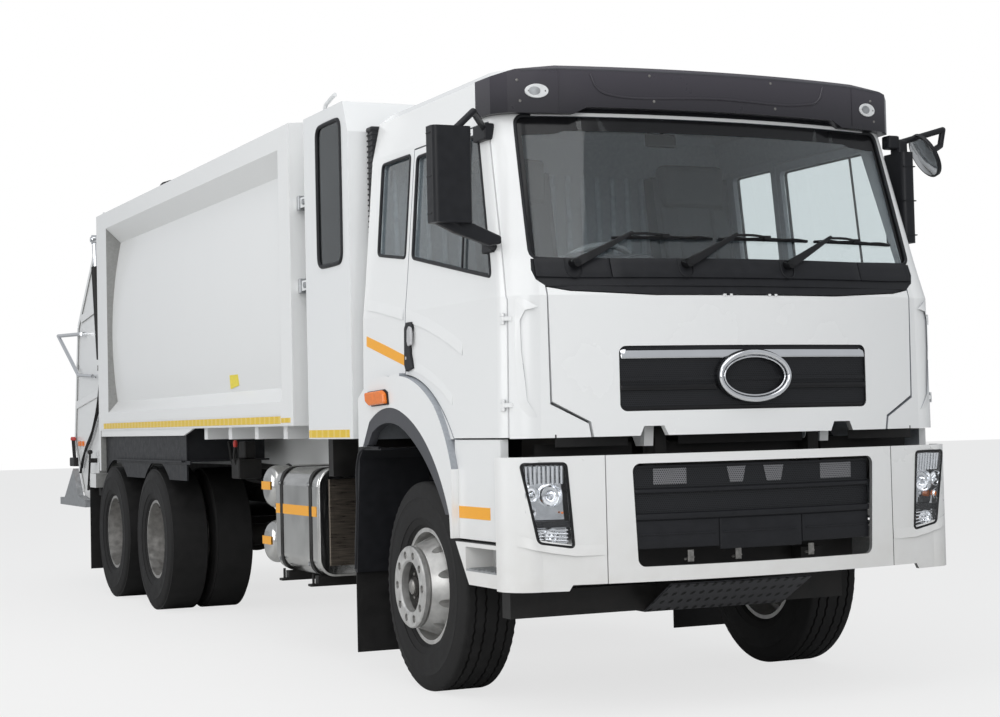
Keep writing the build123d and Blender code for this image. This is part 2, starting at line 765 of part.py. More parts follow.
door_window = ((425, 2056), (1440, 2234), (1450, 2762), (668, 2762))
quarter_window = ((1540, 2244), (1945, 2294), (1955, 2788), (1545, 2788))

flare_inner_x, flare_outer_x = 1185, 1245
with BuildPart() as cab_shell:
    add(cab_form(0))
    with BuildPart(mode=Mode.PRIVATE) as room:
        add(cab_form(cab_wall))
        block((-1300, 1300), (0, 3000), (cab_floor_top, 4000), Mode.INTERSECT)
    with BuildPart(mode=Mode.PRIVATE) as under_floor:
        add(cab_form(cab_wall))
        block((-1300, 1300), (0, 3000), (cab_bottom - 1, cab_floor_bottom), Mode.INTERSECT)
    add(room.part, mode=Mode.SUBTRACT)
    add(under_floor.part, mode=Mode.SUBTRACT)
    front_cut(panel_opening, (-50, firewall_station))
    front_cut(cowl_outline, (-50, 330))
    front_cut(windscreen_outline, (-50, 900), radius=45)
    # firewall behind the front panel
    block((-1140, 1140), (firewall_station, firewall_station + 20), (cab_floor_bottom, 1990))
    # lower side panels and the flares over the front wheels
    for side in (1, -1):
        block((side * 1168, side * 1208), (335, 870), (815, cab_bottom + 60))
        with BuildSketch(side_plane(side * flare_inner_x if side > 0 else -flare_outer_x)) as flare:
            with BuildLine():
                Polyline((872, 927), (862, 815), (842, 815), (835, 1150))
                ThreePointArc((835, 1150), (1050, 1468), (1650, 1626))
                ThreePointArc((1650, 1626), (1920, 1606), (cab_rear, 1520))
                Polyline((cab_rear, 1520), (cab_rear, 1256), (2055, 1258), (1950, 1392))
                ThreePointArc((1950, 1392), (1720, 1460), (1460, 1432))
                ThreePointArc((1460, 1432), (1120, 1250), (872, 927))
            make_face()
        extrude(flare.sketch, amount=flare_outer_x - flare_inner_x)
    for side in (1, -1):
        add(arch_prism(side), mode=Mode.SUBTRACT)
        add(door_prism(side, door_gap), mode=Mode.SUBTRACT)
        add(window_prism(side, quarter_window), mode=Mode.SUBTRACT)
    # door hinge lugs on the front posts
    for side in (1, -1):
        for z in door_hinge_heights:
            x = door_hinge_x(z)
            with BuildSketch(level_plane(z - 10)) as lug:
                with BuildLine():
                    Polyline((side * (x + 5), 281), (side * (x - 5), 275), (side * (x - 26), 262),
                             (side * (x - 36), 250), (side * (x - 25), 250), (side * (x - 8), 264), close=True)
                make_face()
            extrude(lug.sketch, amount=20)
            door_knuckle(side, z, 10, hinge_eye_radius)
            door_knuckle(side, z, 11, hinge_wire_radius + running_gap, Mode.SUBTRACT)
    # hinge leaves under the floor
    for x in both_sides(470, 520):
        plate(x, ((cab_pivot_station - 40, cab_pivot_z - 40), (cab_pivot_station + 40, cab_pivot_z - 40),
                  (cab_pivot_station + 160, cab_floor_bottom + 1), (cab_pivot_station - 60, cab_floor_bottom + 1)))
    for x in both_sides(396, 521):
        cross_bar(x, cab_pivot_station, cab_pivot_z, hinge_pin_radius)

# pressings that meet face to face: nose, back wall, roof, floor and sides
nose_seam, back_seam, roof_seam, floor_seam_x = 300, 2070, 2840, 1060
cab_regions = (
    ((-1300, 1300), (0, nose_seam), (700, 3200)),
    ((-1300, 1300), (back_seam, 2200), (700, 3200)),
    ((-1300, 1300), (nose_seam, back_seam), (roof_seam, 3200)),
    ((-floor_seam_x, floor_seam_x), (nose_seam, back_seam), (700, roof_seam)),
    ((-1300, -floor_seam_x), (nose_seam, back_seam), (700, roof_seam)),
    ((floor_seam_x, 1300), (nose_seam, back_seam), (700, roof_seam)),
)


def within(form, x, station, z):
    """The solids of a form that a box cuts out of it."""
    with BuildPart() as kept:
        add(form)
        block(x, station, z, Mode.INTERSECT)
    return kept.part.solids()


pieces["cab_shell"] = Compound([solid for region in cab_regions for solid in within(cab_shell.part, *region)])

with BuildPart() as glass_skin:
    add(cab_form(glass_inset))
    add(cab_form(glass_inset + glass_thickness), mode=Mode.SUBTRACT)

with BuildPart() as screen_prism:
    front_cut(windscreen_outline, (-50, 900), radius=45, mode=Mode.ADD)
with BuildPart() as cab_glass:
    add(common(glass_skin.part, screen_prism.part))
    for side in (1, -1):
        add(common(glass_skin.part, window_prism(side, quarter_window)))
pieces["cab_glass"] = cab_glass.part

# small hinges in the gap over the front panel
lid_hinge_station, lid_hinge_z = 62, front_panel_top + 5
lid_eye_radius, lid_wire_radius = 3.5, 2
with BuildPart() as cowl_prism:
    front_cut(cowl_outline, (-50, 330), mode=Mode.ADD)
with BuildPart() as cowl:
    add(cab_form(4))
    add(cab_form(cab_wall - 5), mode=Mode.SUBTRACT)
    add(cowl_prism.part, mode=Mode.INTERSECT)
    for x in both_sides(116, 134):
        block(x, (59, 70), (lid_hinge_z, lid_hinge_z + 6))
        cross_bar(x, lid_hinge_station, lid_hinge_z, lid_eye_radius)
    for x in both_sides(115, 135):
        cross_bar(x, lid_hinge_station, lid_hinge_z, lid_wire_radius + running_gap, Mode.SUBTRACT)
pieces["cowl"] = cowl.part

visor_bottom, visor_top = 2838, 3070
visor_face = mirrored(((705, 2869), (765, visor_bottom), (1165, visor_bottom), (1165, 3012), (1050, 3046),
                       (850, visor_top)))
with BuildPart() as sun_visor:
    with BuildSketch(level_plane(visor_bottom)) as visor_plan:
        with BuildLine():
            brow = ThreePointArc((-1085, 432), (0, 292), (1085, 432))
            Polyline(brow @ 1, (1145, 500), (1160, 640), (-1160, 640), (-1145, 500), brow @ 0)
        make_face()
    extrude(visor_plan.sketch, amount=visor_top - visor_bottom)
    chamfer(sun_visor.faces().sort_by(Axis.Z)[-1].edges().sort_by(Axis.Y)[0], 22)
    front_cut(visor_face, (200, 700), mode=Mode.INTERSECT)
    add(cab_form(0), mode=Mode.SUBTRACT)
pieces["sun_visor"] = sun_visor.part

wiper_pivots = (-877, -322, 242)
wiper_z, wiper_lift = 2104, 148
elbow_reach, blade_start, blade_end = 303, 212, 735


def screen_station(x, z):
    """Station of the windscreen's face."""
    low, high = cab_sections[2], cab_sections[3]
    return low[2] + (z - low[0]) * (high[2] - low[2]) / (high[0] - low[0]) + bow_at(x) + glass_inset


with BuildPart() as wipers:
    for x in wiper_pivots:
        rod((x, 190 + bow_at(x), wiper_z), (x, 60 + bow_at(x), wiper_z), 16)
    add(cab_form(4 - running_gap), mode=Mode.SUBTRACT)
    for x in wiper_pivots:
        elbow = (x + elbow_reach, screen_station(x + elbow_reach, 2252) - 45, wiper_z + wiper_lift)
        middle = (x + (blade_start + blade_end) / 2, screen_station(x + 470, 2236) - 32, 2236)
        rod((x, 72 + bow_at(x), wiper_z), elbow, 10)
        rod(elbow, middle, 8)
        with Locations((elbow[0], y_at(elbow[1]), elbow[2])):
            Sphere(10)
        rod((x + blade_start, screen_station(x + blade_start, 2230) - 22, 2230),
            (x + blade_end, screen_station(x + blade_end, 2230) - 22, 2230), 9)
        rod(middle, (middle[0], middle[1] + 10, 2230), 9)
pieces["wipers"] = wipers.part

wheel_centre = (-560, 640, 2075)
with BuildPart() as dashboard:
    plate((-1050, 1050), ((firewall_station + 20, 1760), (470, 1760), (560, 1960), (500, 2085), (330, 2085),
                          (firewall_station + 20, 2020)))
    rod((wheel_centre[0], 500, 1900), wheel_centre, 30)
    tilt = Plane(origin=(wheel_centre[0], y_at(wheel_centre[1]), wheel_centre[2]), z_dir=(0, 0.64, 0.77))
    with Locations(tilt):
        Torus(225, 16)
        Box(430, 40, 14)
        Cylinder(60, 40)
pieces["dashboard"] = dashboard.part

with BuildPart() as seats:
    for x in (-560, 560):
        block((x - 250, x + 250), (960, 1430), (1830, 1960))
        plate((x - 240, x + 240), ((1400, 1850), (1520, 1850), (1660, 2720), (1560, 2720)))
        block((x - 200, x + 200), (1020, 1420), (cab_floor_top, 1835))
pieces["seats"] = seats.part

with BuildPart() as air_intake:
    block((-1130, -960), (cab_rear, cab_rear + 68), (2380, 3010))
    block((-1080, -1000), (cab_rear, cab_rear + 60), (1600, 2385))
pieces["air_intake"] = air_intake.part

with BuildPart() as arch_trims:
    for side in (1, -1):
        with BuildSketch(side_plane(side * 1195 if side > 0 else -1242)) as trim:
            with BuildLine():
                ThreePointArc((872, 927), (1120, 1250), (1460, 1432))
                ThreePointArc((1460, 1432), (1720, 1460), (1950, 1392))
                Polyline((1950, 1392), (2048, 1266), (1985, 1266), (1915, 1335))
                ThreePointArc((1915, 1335), (1715, 1382), (1490, 1355))
                ThreePointArc((1490, 1355), (1180, 1190), (925, 927))
                Line((925, 927), (872, 927))
            make_face()
        extrude(trim.sketch, amount=47)
pieces["arch_trims"] = arch_trims.part

doors = {"right": -1, "left": 1}
for name, side in doors.items():
    with BuildPart() as door:
        add(cab_form(0))
        add(cab_form(cab_wall), mode=Mode.SUBTRACT)
        add(door_prism(side), mode=Mode.INTERSECT)
        add(window_prism(side, door_window), mode=Mode.SUBTRACT)
        for z in door_hinge_heights:
            x = door_hinge_x(z)
            for low in (z - 26, z + 11):
                block((side * (x - 4), side * (x + 6)), (door_hinge_station, 312), (low, low + 15))
                door_knuckle(side, low + 7.5, 7.5, hinge_eye_radius)
            door_knuckle(side, z, 25, hinge_wire_radius)
    with BuildPart() as pane:
        add(glass_skin.part)
        add(window_prism(side, door_window), mode=Mode.INTERSECT)
    with BuildPart() as mirror_unit:
        # the driver's mirror stands out, the other is folded back and has a small round one before it
        if side < 0:
            block((-1545, -1345), (262, 362), (2290, 2735))
            fillet(mirror_unit.edges().filter_by(Axis.Z), 28)
            arms = (((-1125, 600, 2770), (-1310, 330, 2815), (-1440, 312, 2700)),
                    ((-1160, 415, 2185), (-1330, 318, 2235), (-1440, 312, 2300)))
        else:
            block((1185, 1260), (420, 600), (2262, 2740))
            fillet(mirror_unit.edges().filter_by(Axis.Z), 24)
            with Locations(Plane((1398, y_at(500), 2742), z_dir=(0.86, -0.18, 0.48))):
                Cylinder(125, 18, align=(Align.CENTER, Align.CENTER, Align.MAX))
                Cone(125, 55, 26, align=(Align.CENTER, Align.CENTER, Align.MIN))
            arms = (((1125, 500, 2790), (1230, 490, 2800), (1225, 500, 2700)),
                    ((1230, 490, 2800), (1529, 525, 2884), (1518, 535, 2800)),
                    ((1529, 525, 2884), (1518, 535, 2800), (1415, 496, 2751)),
                    ((1150, 520, 2200), (1222, 510, 2220), (1222, 510, 2300)))
        for start, corner, end in arms:
            rod(start, corner, 16)
            rod(corner, end, 16)
            with Locations((corner[0], y_at(corner[1]), corner[2])):
                Sphere(16)
        add(cab_form(0), mode=Mode.SUBTRACT)
    pieces[f"door_{name}"] = door.part
    pieces[f"door_glass_{name}"] = pane.part
    pieces[f"mirror_{name}"] = mirror_unit.part

upper_grille_opening = ((-690, 1410), (690, 1410), (690, 1715), (-690, 1715))
with BuildPart() as panel_prism:
    front_cut(panel_outline, (-50, firewall_station), mode=Mode.ADD)
with BuildPart() as front_panel:
    add(cab_form(0))
    add(cab_form(front_panel_wall), mode=Mode.SUBTRACT)
    add(panel_prism.part, mode=Mode.INTERSECT)
    front_cut(upper_grille_opening, (-50, firewall_station), radius=35)
    for x in (-525, 525):
        front_cut(((x - 75, 1285), (x + 75, 1285), (x + 50, 1340), (x - 50, 1340)), (-50, firewall_station))
    for pair in (both_sides(100, 115), both_sides(135, 150)):
        for x in pair:
            block(x, (59, 68), (front_panel_top - 2, lid_hinge_z))
            cross_bar(x, lid_hinge_station, lid_hinge_z, lid_eye_radius)
    for x in both_sides(100, 150):
        cross_bar(x, lid_hinge_station, lid_hinge_z, lid_wire_radius)
pieces["front_panel"] = front_panel.part

with BuildPart() as upper_grille:
    add(cab_form(10))
    add(cab_form(26), mode=Mode.SUBTRACT)
    for low, high, half, front in ((1655, 1711, 652, 6), (1548, 1566, 684, 4)):
        with BuildSketch(level_plane(low)) as bar:
            with BuildLine():
                near = ThreePointArc((-half, 60 + front + bow_at(half)), (0, 60 + front),
                                     (half, 60 + front + bow_at(half)))
                far = ThreePointArc((-half, 78 + bow_at(half)), (0, 78), (half, 78 + bow_at(half)))
                Line(near @ 0, far @ 0)
                Line(near @ 1, far @ 1)
            make_face()
        extrude(bar.sketch, amount=high - low)
    with BuildPart(mode=Mode.PRIVATE) as grille_prism:
        front_cut(upper_grille_opening, (-50, firewall_station), radius=35, mode=Mode.ADD)
    add(grille_prism.part, mode=Mode.INTERSECT)
    with BuildSketch(cross_plane(48)) as ring:
        with Locations((0, 1568)):
            Ellipse(205, 128)
            Ellipse(180, 103, mode=Mode.SUBTRACT)
    extrude(ring.sketch, amount=-36)
pieces["upper_grille"] = upper_grille.part


# =============== crew cabin ===============

crew_window = ((2320, 2290), (2720, 2290), (2720, 3100), (2320, 3100))
crew_door_edges = ((2300, 1390), (2880, 1390), (2880, 3060), (2300, 3060))
crew_hinge_x, crew_hinge_station = body_half_width - 4, 2310
crew_hinge_heights = (1650, 2800)
crew_door_window = ((2360, 2300), (2820, 2300), (2820, 3000), (2360, 3000))
crew_profile = ((crew_front, crew_bottom), (crew_rear, crew_bottom), (crew_rear, crew_top),
                (2280, crew_top), (crew_front, 3010))
with BuildPart() as crew_cabin:
    plate((-body_half_width, body_half_width), crew_profile)
    plate((-body_half_width + crew_wall, body_half_width - crew_wall), (
        (crew_front + crew_wall, crew_bottom + crew_wall), (crew_rear - crew_wall, crew_bottom + crew_wall),
        (crew_rear - crew_wall, crew_top - crew_wall), (2296, crew_top - crew_wall),
        (crew_front + crew_wall, 3002)), Mode.SUBTRACT)
    with BuildSketch(side_plane(-body_half_width - 10)) as opening:
        with BuildLine():
            Polyline(*crew_window, close=True)
        make_face()
        fillet(opening.vertices(), 70)
    extrude(opening.sketch, amount=crew_wall + 20, mode=Mode.SUBTRACT)
    with BuildSketch(side_plane(body_half_width - crew_wall - 10)) as doorway:
        with BuildLine():
            Polyline(*crew_door_edges, close=True)
        make_face()
        offset(amount=door_gap)
    extrude(doorway.sketch, amount=crew_wall + 20, mode=Mode.SUBTRACT)
    for z in crew_hinge_heights:
        block((crew_hinge_x - 5, crew_hinge_x + 5), (2275, crew_hinge_station), (z - 10, z + 10))
        upright(crew_hinge_x, crew_hinge_station, (z - 10, z + 10), hinge_eye_radius)
        upright(crew_hinge_x, crew_hinge_station, (z - 11, z + 11), hinge_wire_radius + running_gap, Mode.SUBTRACT)
    # bench, and the stays to the body
    block((-1180, 1100), (2560, 2915), (crew_bottom + crew_wall - 1, 1760))
    block((-1180, 1100), (2840, 2921), (1750, 2350))
    for x in both_sides(1120, 1200):
        for z in (2220, 2720):
            block(x, (crew_rear - 1, body_front), (z - 30, z + 30))
pieces["crew_cabin"] = crew_cabin.part

with BuildPart() as crew_glass:
    with BuildSketch(side_plane(-body_half_width + 2)) as pane:
        with BuildLine():
            Polyline(*crew_window, close=True)
        make_face()
        fillet(pane.vertices(), 70)
    extrude(pane.sketch, amount=8)
pieces["crew_glass"] = crew_glass.part

with BuildPart() as crew_door:
    plate((body_half_width - crew_wall, body_half_width), crew_door_edges)
    plate((body_half_width - crew_wall - 10, body_half_width + 10), crew_door_window, Mode.SUBTRACT)
    for z in crew_hinge_heights:
        block((crew_hinge_x - 13, crew_hinge_x + 20), (2290, crew_hinge_station + 13), (z - 15, z + 15),
              Mode.SUBTRACT)
        upright(crew_hinge_x, crew_hinge_station, (z - 16, z + 16), hinge_wire_radius)
    rod((body_half_width + 18, 2830, 1900), (body_half_width + 18, 2830, 2200), 12)
    for z in (1900, 2200):
        rod((body_half_width - 5, 2830, z), (body_half_width + 18, 2830, z), 12)
pieces["crew_door"] = crew_door.part


# =============== body ===============

with BuildPart() as body_shell:
    with BuildSketch(cross_plane(body_front)) as skin:
        with BuildLine():
            for side in (1, -1):
                Polyline((0, body_bottom), (side * body_half_width, body_bottom),
                         (side * body_half_width, 1530), (side * 1165, 1620))
                ThreePointArc((side * 1165, 1620), (side * 1200, 2300), (side * 1120, 2960))
                Polyline((side * 1120, 2960), (side * body_half_width, 3080), (side * body_half_width, 3215))
            ThreePointArc((-body_half_width, 3215), (0, 3268), (body_half_width, 3215))
        make_face()
    extrude(skin.sketch, amount=body_front - body_rear)
    # closed posts at both ends
    for x in both_sides(1110, body_half_width):
        block(x, (body_front, body_front + post_depth_front), (body_bottom, 3215))
        block(x, (body_rear - post_depth_rear, body_rear), (body_bottom, 3215))
        block(x, (body_rear - 60, body_rear), (1040, 3215))
    # the load space
    with BuildSketch(cross_plane(body_front + bulkhead_thickness)) as space:
        with BuildLine():
            for side in (1, -1):
                Polyline((0, 1440), (side * 1100, 1440), (side * 1140, 1620))
                ThreePointArc((side * 1140, 1620), (side * 1174, 2300), (side * 1096, 2960))
                Line((side * 1096, 2960), (side * 1096, 3170))
            ThreePointArc((-1096, 3170), (0, 3232), (1096, 3170))
        make_face()
    extrude(space.sketch, amount=body_front - body_rear - 50, mode=Mode.SUBTRACT)
    # skirts under the side rails
    for side in (1, -1):
        plate((side * 1225, side * 1240), ((5780, 1330), (8470, 1330), (8470, body_bottom + 2),
                                           (5500, body_bottom + 2)))
    # hinge ears on the roof and lift cylinder lugs on the rear posts
    for side in (1, -1):
        for x in ((690, 715), (785, 810)):
            plate((side * x[0], side * x[1]), (
                (tailgate_hinge_station - 130, 3225), (tailgate_hinge_station + 130, 3225),
                (tailgate_hinge_station + 45, tailgate_hinge_z + 50),
                (tailgate_hinge_station - 45, tailgate_hinge_z + 50)))
        cross_bar((side * 685, side * 815), tailgate_hinge_station, tailgate_hinge_z, hinge_pin_radius)
        plate((side * 1160, side * 1175), (
            (body_rear - 20, lift_low[1] - 110), (lift_low[0] + 40, lift_low[1] - 40),
            (lift_low[0] + 40, lift_low[1] + 40), (body_rear - 20, lift_low[1] + 110)))
        cross_bar((side * 1165, side * 1240), lift_low[0], lift_low[1], 22)
pieces["body_shell"] = body_shell.part

with BuildPart() as subframe:
    for x in both_sides(rail_outer_x - subframe_thickness, rail_outer_x):
        block(x, (body_front, body_rear - 10), (rail_top, subframe_top))
    for station in range(3600, 8400, 600):
        block((-1180, 1180), (station - 40, station + 40), (1300, subframe_top))
    for x in both_sides(900, 1235):
        block(x, (8700, 8930), (lamp_box_bottom, lamp_box_bottom + 120))
pieces["subframe"] = subframe.part


# =============== tailgate ===============

def slide_point(distance):
    """A point of the packer's track, that far below the raised blade pivot."""
    return (slide_start[0] + slide_direction[0] * distance, slide_start[1] + slide_direction[1] * distance)


inner_x = tailgate_side_x - tailgate_plate
with BuildPart() as tailgate:
    for side in (1, -1):
        plate((side * inner_x, side * tailgate_side_x), tailgate_outline)
    # sloping back, roof and hopper floor between the side plates
    plate((-inner_x, inner_x), ((tailgate_front, 3250), (8700, 3280), (9780, 2340), (9757, 2318), (8690, 3248),
                                (tailgate_front, 3219)))
    with BuildSketch(side_plane(-inner_x)) as floor:
        with BuildLine():
            upper = ThreePointArc((9950, 1275), (9330, 1040), (tailgate_front, 1440))
            Line((tailgate_front, 1440), (tailgate_front, 1400))
            Polyline((tailgate_front, 1400), (8990, 1100), (8990, 765), (9300, 765), hopper_low, hopper_lip,
                     (9950, 1275))
        make_face()
    extrude(floor.sketch, amount=2 * inner_x)
    # hinge arms over the roof, eyes bored for the pin
    for side in (1, -1):
        plate((side * 735, side * 770), (
            (tailgate_hinge_station - 50, tailgate_hinge_z - 30), (tailgate_hinge_station + 60, tailgate_hinge_z - 60),
            (8560, 3240), (8800, 3180), (8950, 3070), (8900, 3330), (8700, 3425),
            (tailgate_hinge_station - 10, tailgate_hinge_z + 60), (tailgate_hinge_station - 50, tailgate_hinge_z + 30)))
        cross_bar((side * 730, side * 775), tailgate_hinge_station, tailgate_hinge_z,
                  hinge_pin_radius + running_gap, Mode.SUBTRACT)
        # lift lug outside the side plate
        cross_bar((side * (tailgate_side_x - 5), side * (lift_x - lift_eye_half - running_gap)), lift_high[0],
                  lift_high[1], 30)
        # track for the packer carriage
        low, high = slide_point(-480), slide_point(1080)
        for offset_station in (-110, 85):
            plate((side * 1045, side * (inner_x + 1)), (
                (low[0] + offset_station, low[1]), (low[0] + offset_station + 25, low[1]),
                (high[0] + offset_station + 25, high[1]), (high[0] + offset_station, high[1])))
pieces["tailgate"] = tailgate.part

with BuildPart() as rear_step:
    block((-1200, 1200), (9700, 10390), (700, 765))
    for x in both_sides(1150, 1200):
        plate(x, ((9310, 700), (10380, 700), (10380, 766), (10200, 766), (9800, 1040), (9640, 850), (9600, 799),
                  (9310, 764)))
    for x in both_sides(1095, 1155):
        block(x, (9150, 9701), (700, 762))
    block((-1100, 1100), (9150, 9701), (700, 765))
pieces["rear_step"] = rear_step.part

rail_radius = 17
with BuildPart() as grab_rails:
    for side in (1, -1):
        x = side * 1190
        route = ((x, 9420, 2257), (x, 10430, 2290), (x, 9560, 1890), (x, 8960, 1862))
        for start, end in zip(route, route[1:]):
            rod(start, end, rail_radius)
        for corner in route[1:3]:
            with Locations((corner[0], y_at(corner[1]), corner[2])):
                Sphere(rail_radius)
        for corner in (route[0], route[3]):
            rod((side * (tailgate_side_x + running_gap), corner[1], corner[2]), corner, rail_radius)
pieces["grab_rails"] = grab_rails.part


def hopper_back(z):
    """Station of the hopper's sloping back at a height."""
    low, lip = hopper_low, hopper_lip
    return low[0] + (z - low[1]) * (lip[0] - low[0]) / (lip[1] - low[1])


with BuildPart() as tail_lamps:
    for x in both_sides(1000, 1090):
        plate(x, ((hopper_back(1230) + 0.4, 1230), (hopper_back(1230) + 36, 1230), (hopper_back(1000) + 36, 1000),
                  (hopper_back(1000) + 0.4, 1000)))
pieces["tail_lamps"] = tail_lamps.part

with BuildPart() as packer_carriage:
    top, end = slide_point(-400), slide_point(-100)
    plate((-packer_half_width, packer_half_width), (
        (top[0] - 55, top[1]), (top[0] + 55, top[1]), (end[0] + 55, end[1]), (end[0] - 55, end[1])))
    for x in both_sides(packer_half_width - 5, inner_x - runner_gap):
        low, high = slide_point(-380), slide_point(-60)
        plate(x, ((low[0] - 70, low[1]), (low[0] + 70, low[1]), (high[0] + 70, high[1]), (high[0] - 70, high[1])))
    for x in both_sides(700, 740):
        plate(x, ((end[0] - 55, end[1] + 20), (end[0] + 55, end[1] + 20), (slide_start[0] + 50, slide_start[1] - 50),
                  (slide_start[0] - 50, slide_start[1] - 50)))
    for x in both_sides(695, 800):
        cross_bar(x, slide_start[0], slide_start[1], hinge_pin_radius)
pieces["packer_carriage"] = packer_carriage.part

swept = radians(20)
with BuildPart() as packer_blade:
    def blade_point(along, across):
        """A point of the blade, measured down from its pivot and back from its middle plane."""
        return (slide_start[0] - along * sin(swept) + across * cos(swept),
                slide_start[1] - along * cos(swept) - across * sin(swept))
    plate((-packer_half_width, packer_half_width), (
        blade_point(140, -40), blade_point(140, 40), blade_point(blade_length, 40), blade_point(blade_length, -40)))
    for x in both_sides(750, 790):
        plate(x, (blade_point(-50, -50), blade_point(-50, 50), blade_point(200, 40), blade_point(200, -40)))
    for x in both_sides(748, 792):
        cross_bar(x, slide_start[0], slide_start[1], hinge_pin_radius + running_gap, Mode.SUBTRACT)
pieces["packer_blade"] = packer_blade.part

lift_length = hypot(lift_high[0] - lift_low[0], lift_high[1] - lift_low[1])
lift_unit = ((lift_high[0] - lift_low[0]) / lift_length, (lift_high[1] - lift_low[1]) / lift_length)


def lift_point(x, distance):
    return (x, lift_low[0] + lift_unit[0] * distance, lift_low[1] + lift_unit[1] * distance)


with BuildPart() as lift_barrels:
    for side in (1, -1):
        x = side * lift_x
        rod(lift_point(x, 80), lift_point(x, 900), 42)
        rod(lift_point(x, 0), lift_point(x, 90), 18)
        cross_bar((side * (lift_x - 18), side * (lift_x + 18)), lift_low[0], lift_low[1], 40)
        cross_bar((side * (lift_x - 20), side * (lift_x + 20)), lift_low[0], lift_low[1],
                  22 + running_gap, Mode.SUBTRACT)
        rod(lift_point(x, 105), lift_point(x, 901), 24 + running_gap, Mode.SUBTRACT)
pieces["lift_barrels"] = lift_barrels.part

with BuildPart() as lift_rods:
    for side in (1, -1):
        x = side * lift_x
        rod(lift_point(x, 110), lift_point(x, lift_length - 50), 24)
        rod(lift_point(x, lift_length - 60), lift_point(x, lift_length), 18)
        cross_bar((side * (lift_x - lift_eye_half), side * (lift_x + lift_eye_half)), lift_high[0], lift_high[1], 40)
        cross_bar((side * (lift_x + lift_eye_half - 1), side * (lift_x + lift_eye_half + 12)), lift_high[0],
                  lift_high[1], 22)
pieces["lift_rods"] = lift_rods.part

for name, shape in pieces.items():
    shape.label = name
    export_step(shape, f"parts/{name}.step")
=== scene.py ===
import bpy
from math import atan2, cos, floor, pi, radians, sin, sqrt
from mathutils import Matrix, Vector


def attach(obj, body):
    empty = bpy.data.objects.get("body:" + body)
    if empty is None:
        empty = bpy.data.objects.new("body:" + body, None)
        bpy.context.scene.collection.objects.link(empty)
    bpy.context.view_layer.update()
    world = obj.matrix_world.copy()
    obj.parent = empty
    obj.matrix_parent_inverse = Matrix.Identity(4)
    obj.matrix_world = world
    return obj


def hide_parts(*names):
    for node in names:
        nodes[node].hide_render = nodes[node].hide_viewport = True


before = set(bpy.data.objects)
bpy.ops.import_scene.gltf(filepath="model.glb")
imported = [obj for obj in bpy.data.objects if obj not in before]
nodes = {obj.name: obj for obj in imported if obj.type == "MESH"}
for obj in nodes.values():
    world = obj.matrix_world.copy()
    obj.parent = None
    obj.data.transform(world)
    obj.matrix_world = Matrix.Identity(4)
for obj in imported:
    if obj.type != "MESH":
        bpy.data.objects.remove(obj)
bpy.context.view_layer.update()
noseY = -5.2  # the bumper's nose; stations below are metres behind it


def spot(x, station, height):
    return Vector((x, noseY + station, height))


cameraSet = {"place": (-4.8366, -12.8124, 1.372), "yaw": 24.898, "pitch": 2.238, "roll": -1.336,
             "focalShare": 1.88498, "shiftX": -0.00981, "shiftY": -0.00998, "sensor": 36, "farEnd": 200}
lampSettings = {  # place, target, size and power
    "skyPanel": ((-3, -6, 11), (0, 0, 1), 12, 580),
    "frontPanelLight": ((-7, -16, 5), (0, -4, 1.6), 7, 480),
    "sideFill": ((-13, 1, 5), (0, 0, 1.5), 7, 400),
}
worldSet = {"lightColour": (0.93, 0.96, 1, 1), "lightLevel": 0.52, "shownLevel": 1.0}
floorSet = {"size": 120, "colour": (0.62, 0.62, 0.61, 1), "roughness": 0.8, "glow": 0.72}


def addCamera(settings):
    yaw, pitch, roll = (radians(settings[key]) for key in ("yaw", "pitch", "roll"))
    forward = Vector((sin(yaw) * cos(pitch), cos(yaw) * cos(pitch), sin(pitch)))
    right = Vector((cos(yaw), -sin(yaw), 0))
    up = right.cross(forward)
    turnedRight = right * cos(roll) + up * sin(roll)
    turnedUp = up * cos(roll) - right * sin(roll)
    bpy.ops.object.camera_add()
    camera = bpy.context.object
    camera.name = "mainCamera"
    axes = Matrix((turnedRight, turnedUp, -forward)).transposed()
    camera.matrix_world = Matrix.Translation(settings["place"]) @ axes.to_4x4()
    camera.data.sensor_width = settings["sensor"]
    camera.data.sensor_fit = "HORIZONTAL"
    camera.data.lens = settings["focalShare"] * settings["sensor"]
    camera.data.shift_x = settings["shiftX"]
    camera.data.shift_y = settings["shiftY"]
    camera.data.clip_end = settings["farEnd"]
    bpy.context.scene.camera = camera


def addLamp(name, place, target, size, power):
    bpy.ops.object.light_add(type="AREA", location=place)
    lamp = bpy.context.object
    lamp.name = name
    lamp.data.size = size
    lamp.data.energy = power
    lamp.rotation_euler = (Vector(target) - Vector(place)).to_track_quat("-Z", "Y").to_euler()


def fill(tree, node, inputs):
    # each input gets a value, or a link when it is given another node's output
    for key, value in inputs.items():
        if isinstance(value, bpy.types.NodeSocket):
            tree.links.new(value, node.inputs[key])
        else:
            node.inputs[key].default_value = value
    return node


def addNode(tree, kind, inputs=None, **settings):
    node = tree.nodes.new("ShaderNode" + kind)
    for key, value in settings.items():
        setattr(node, key, value)
    return fill(tree, node, inputs or {})


def mathNode(tree, operation, first, second=None, clamp=False):
    inputs = {0: first} if second is None else {0: first, 1: second}
    return addNode(tree, "Math", inputs, operation=operation, use_clamp=clamp).outputs[0]


def mixNode(tree, share, first, second):
    return addNode(tree, "Mix", {"Factor": share, 6: first, 7: second}, data_type="RGBA").outputs[2]


def axisNode(tree, vector, axis):
    return addNode(tree, "SeparateXYZ", {0: vector}).outputs[axis]


def noiseNode(tree, vector, scale, detail=3, stretch=None):
    if stretch:
        vector = addNode(tree, "Mapping", {"Scale": stretch, "Vector": vector}).outputs["Vector"]
    return addNode(tree, "TexNoise", {"Scale": scale, "Detail": detail, "Vector": vector}).outputs["Fac"]


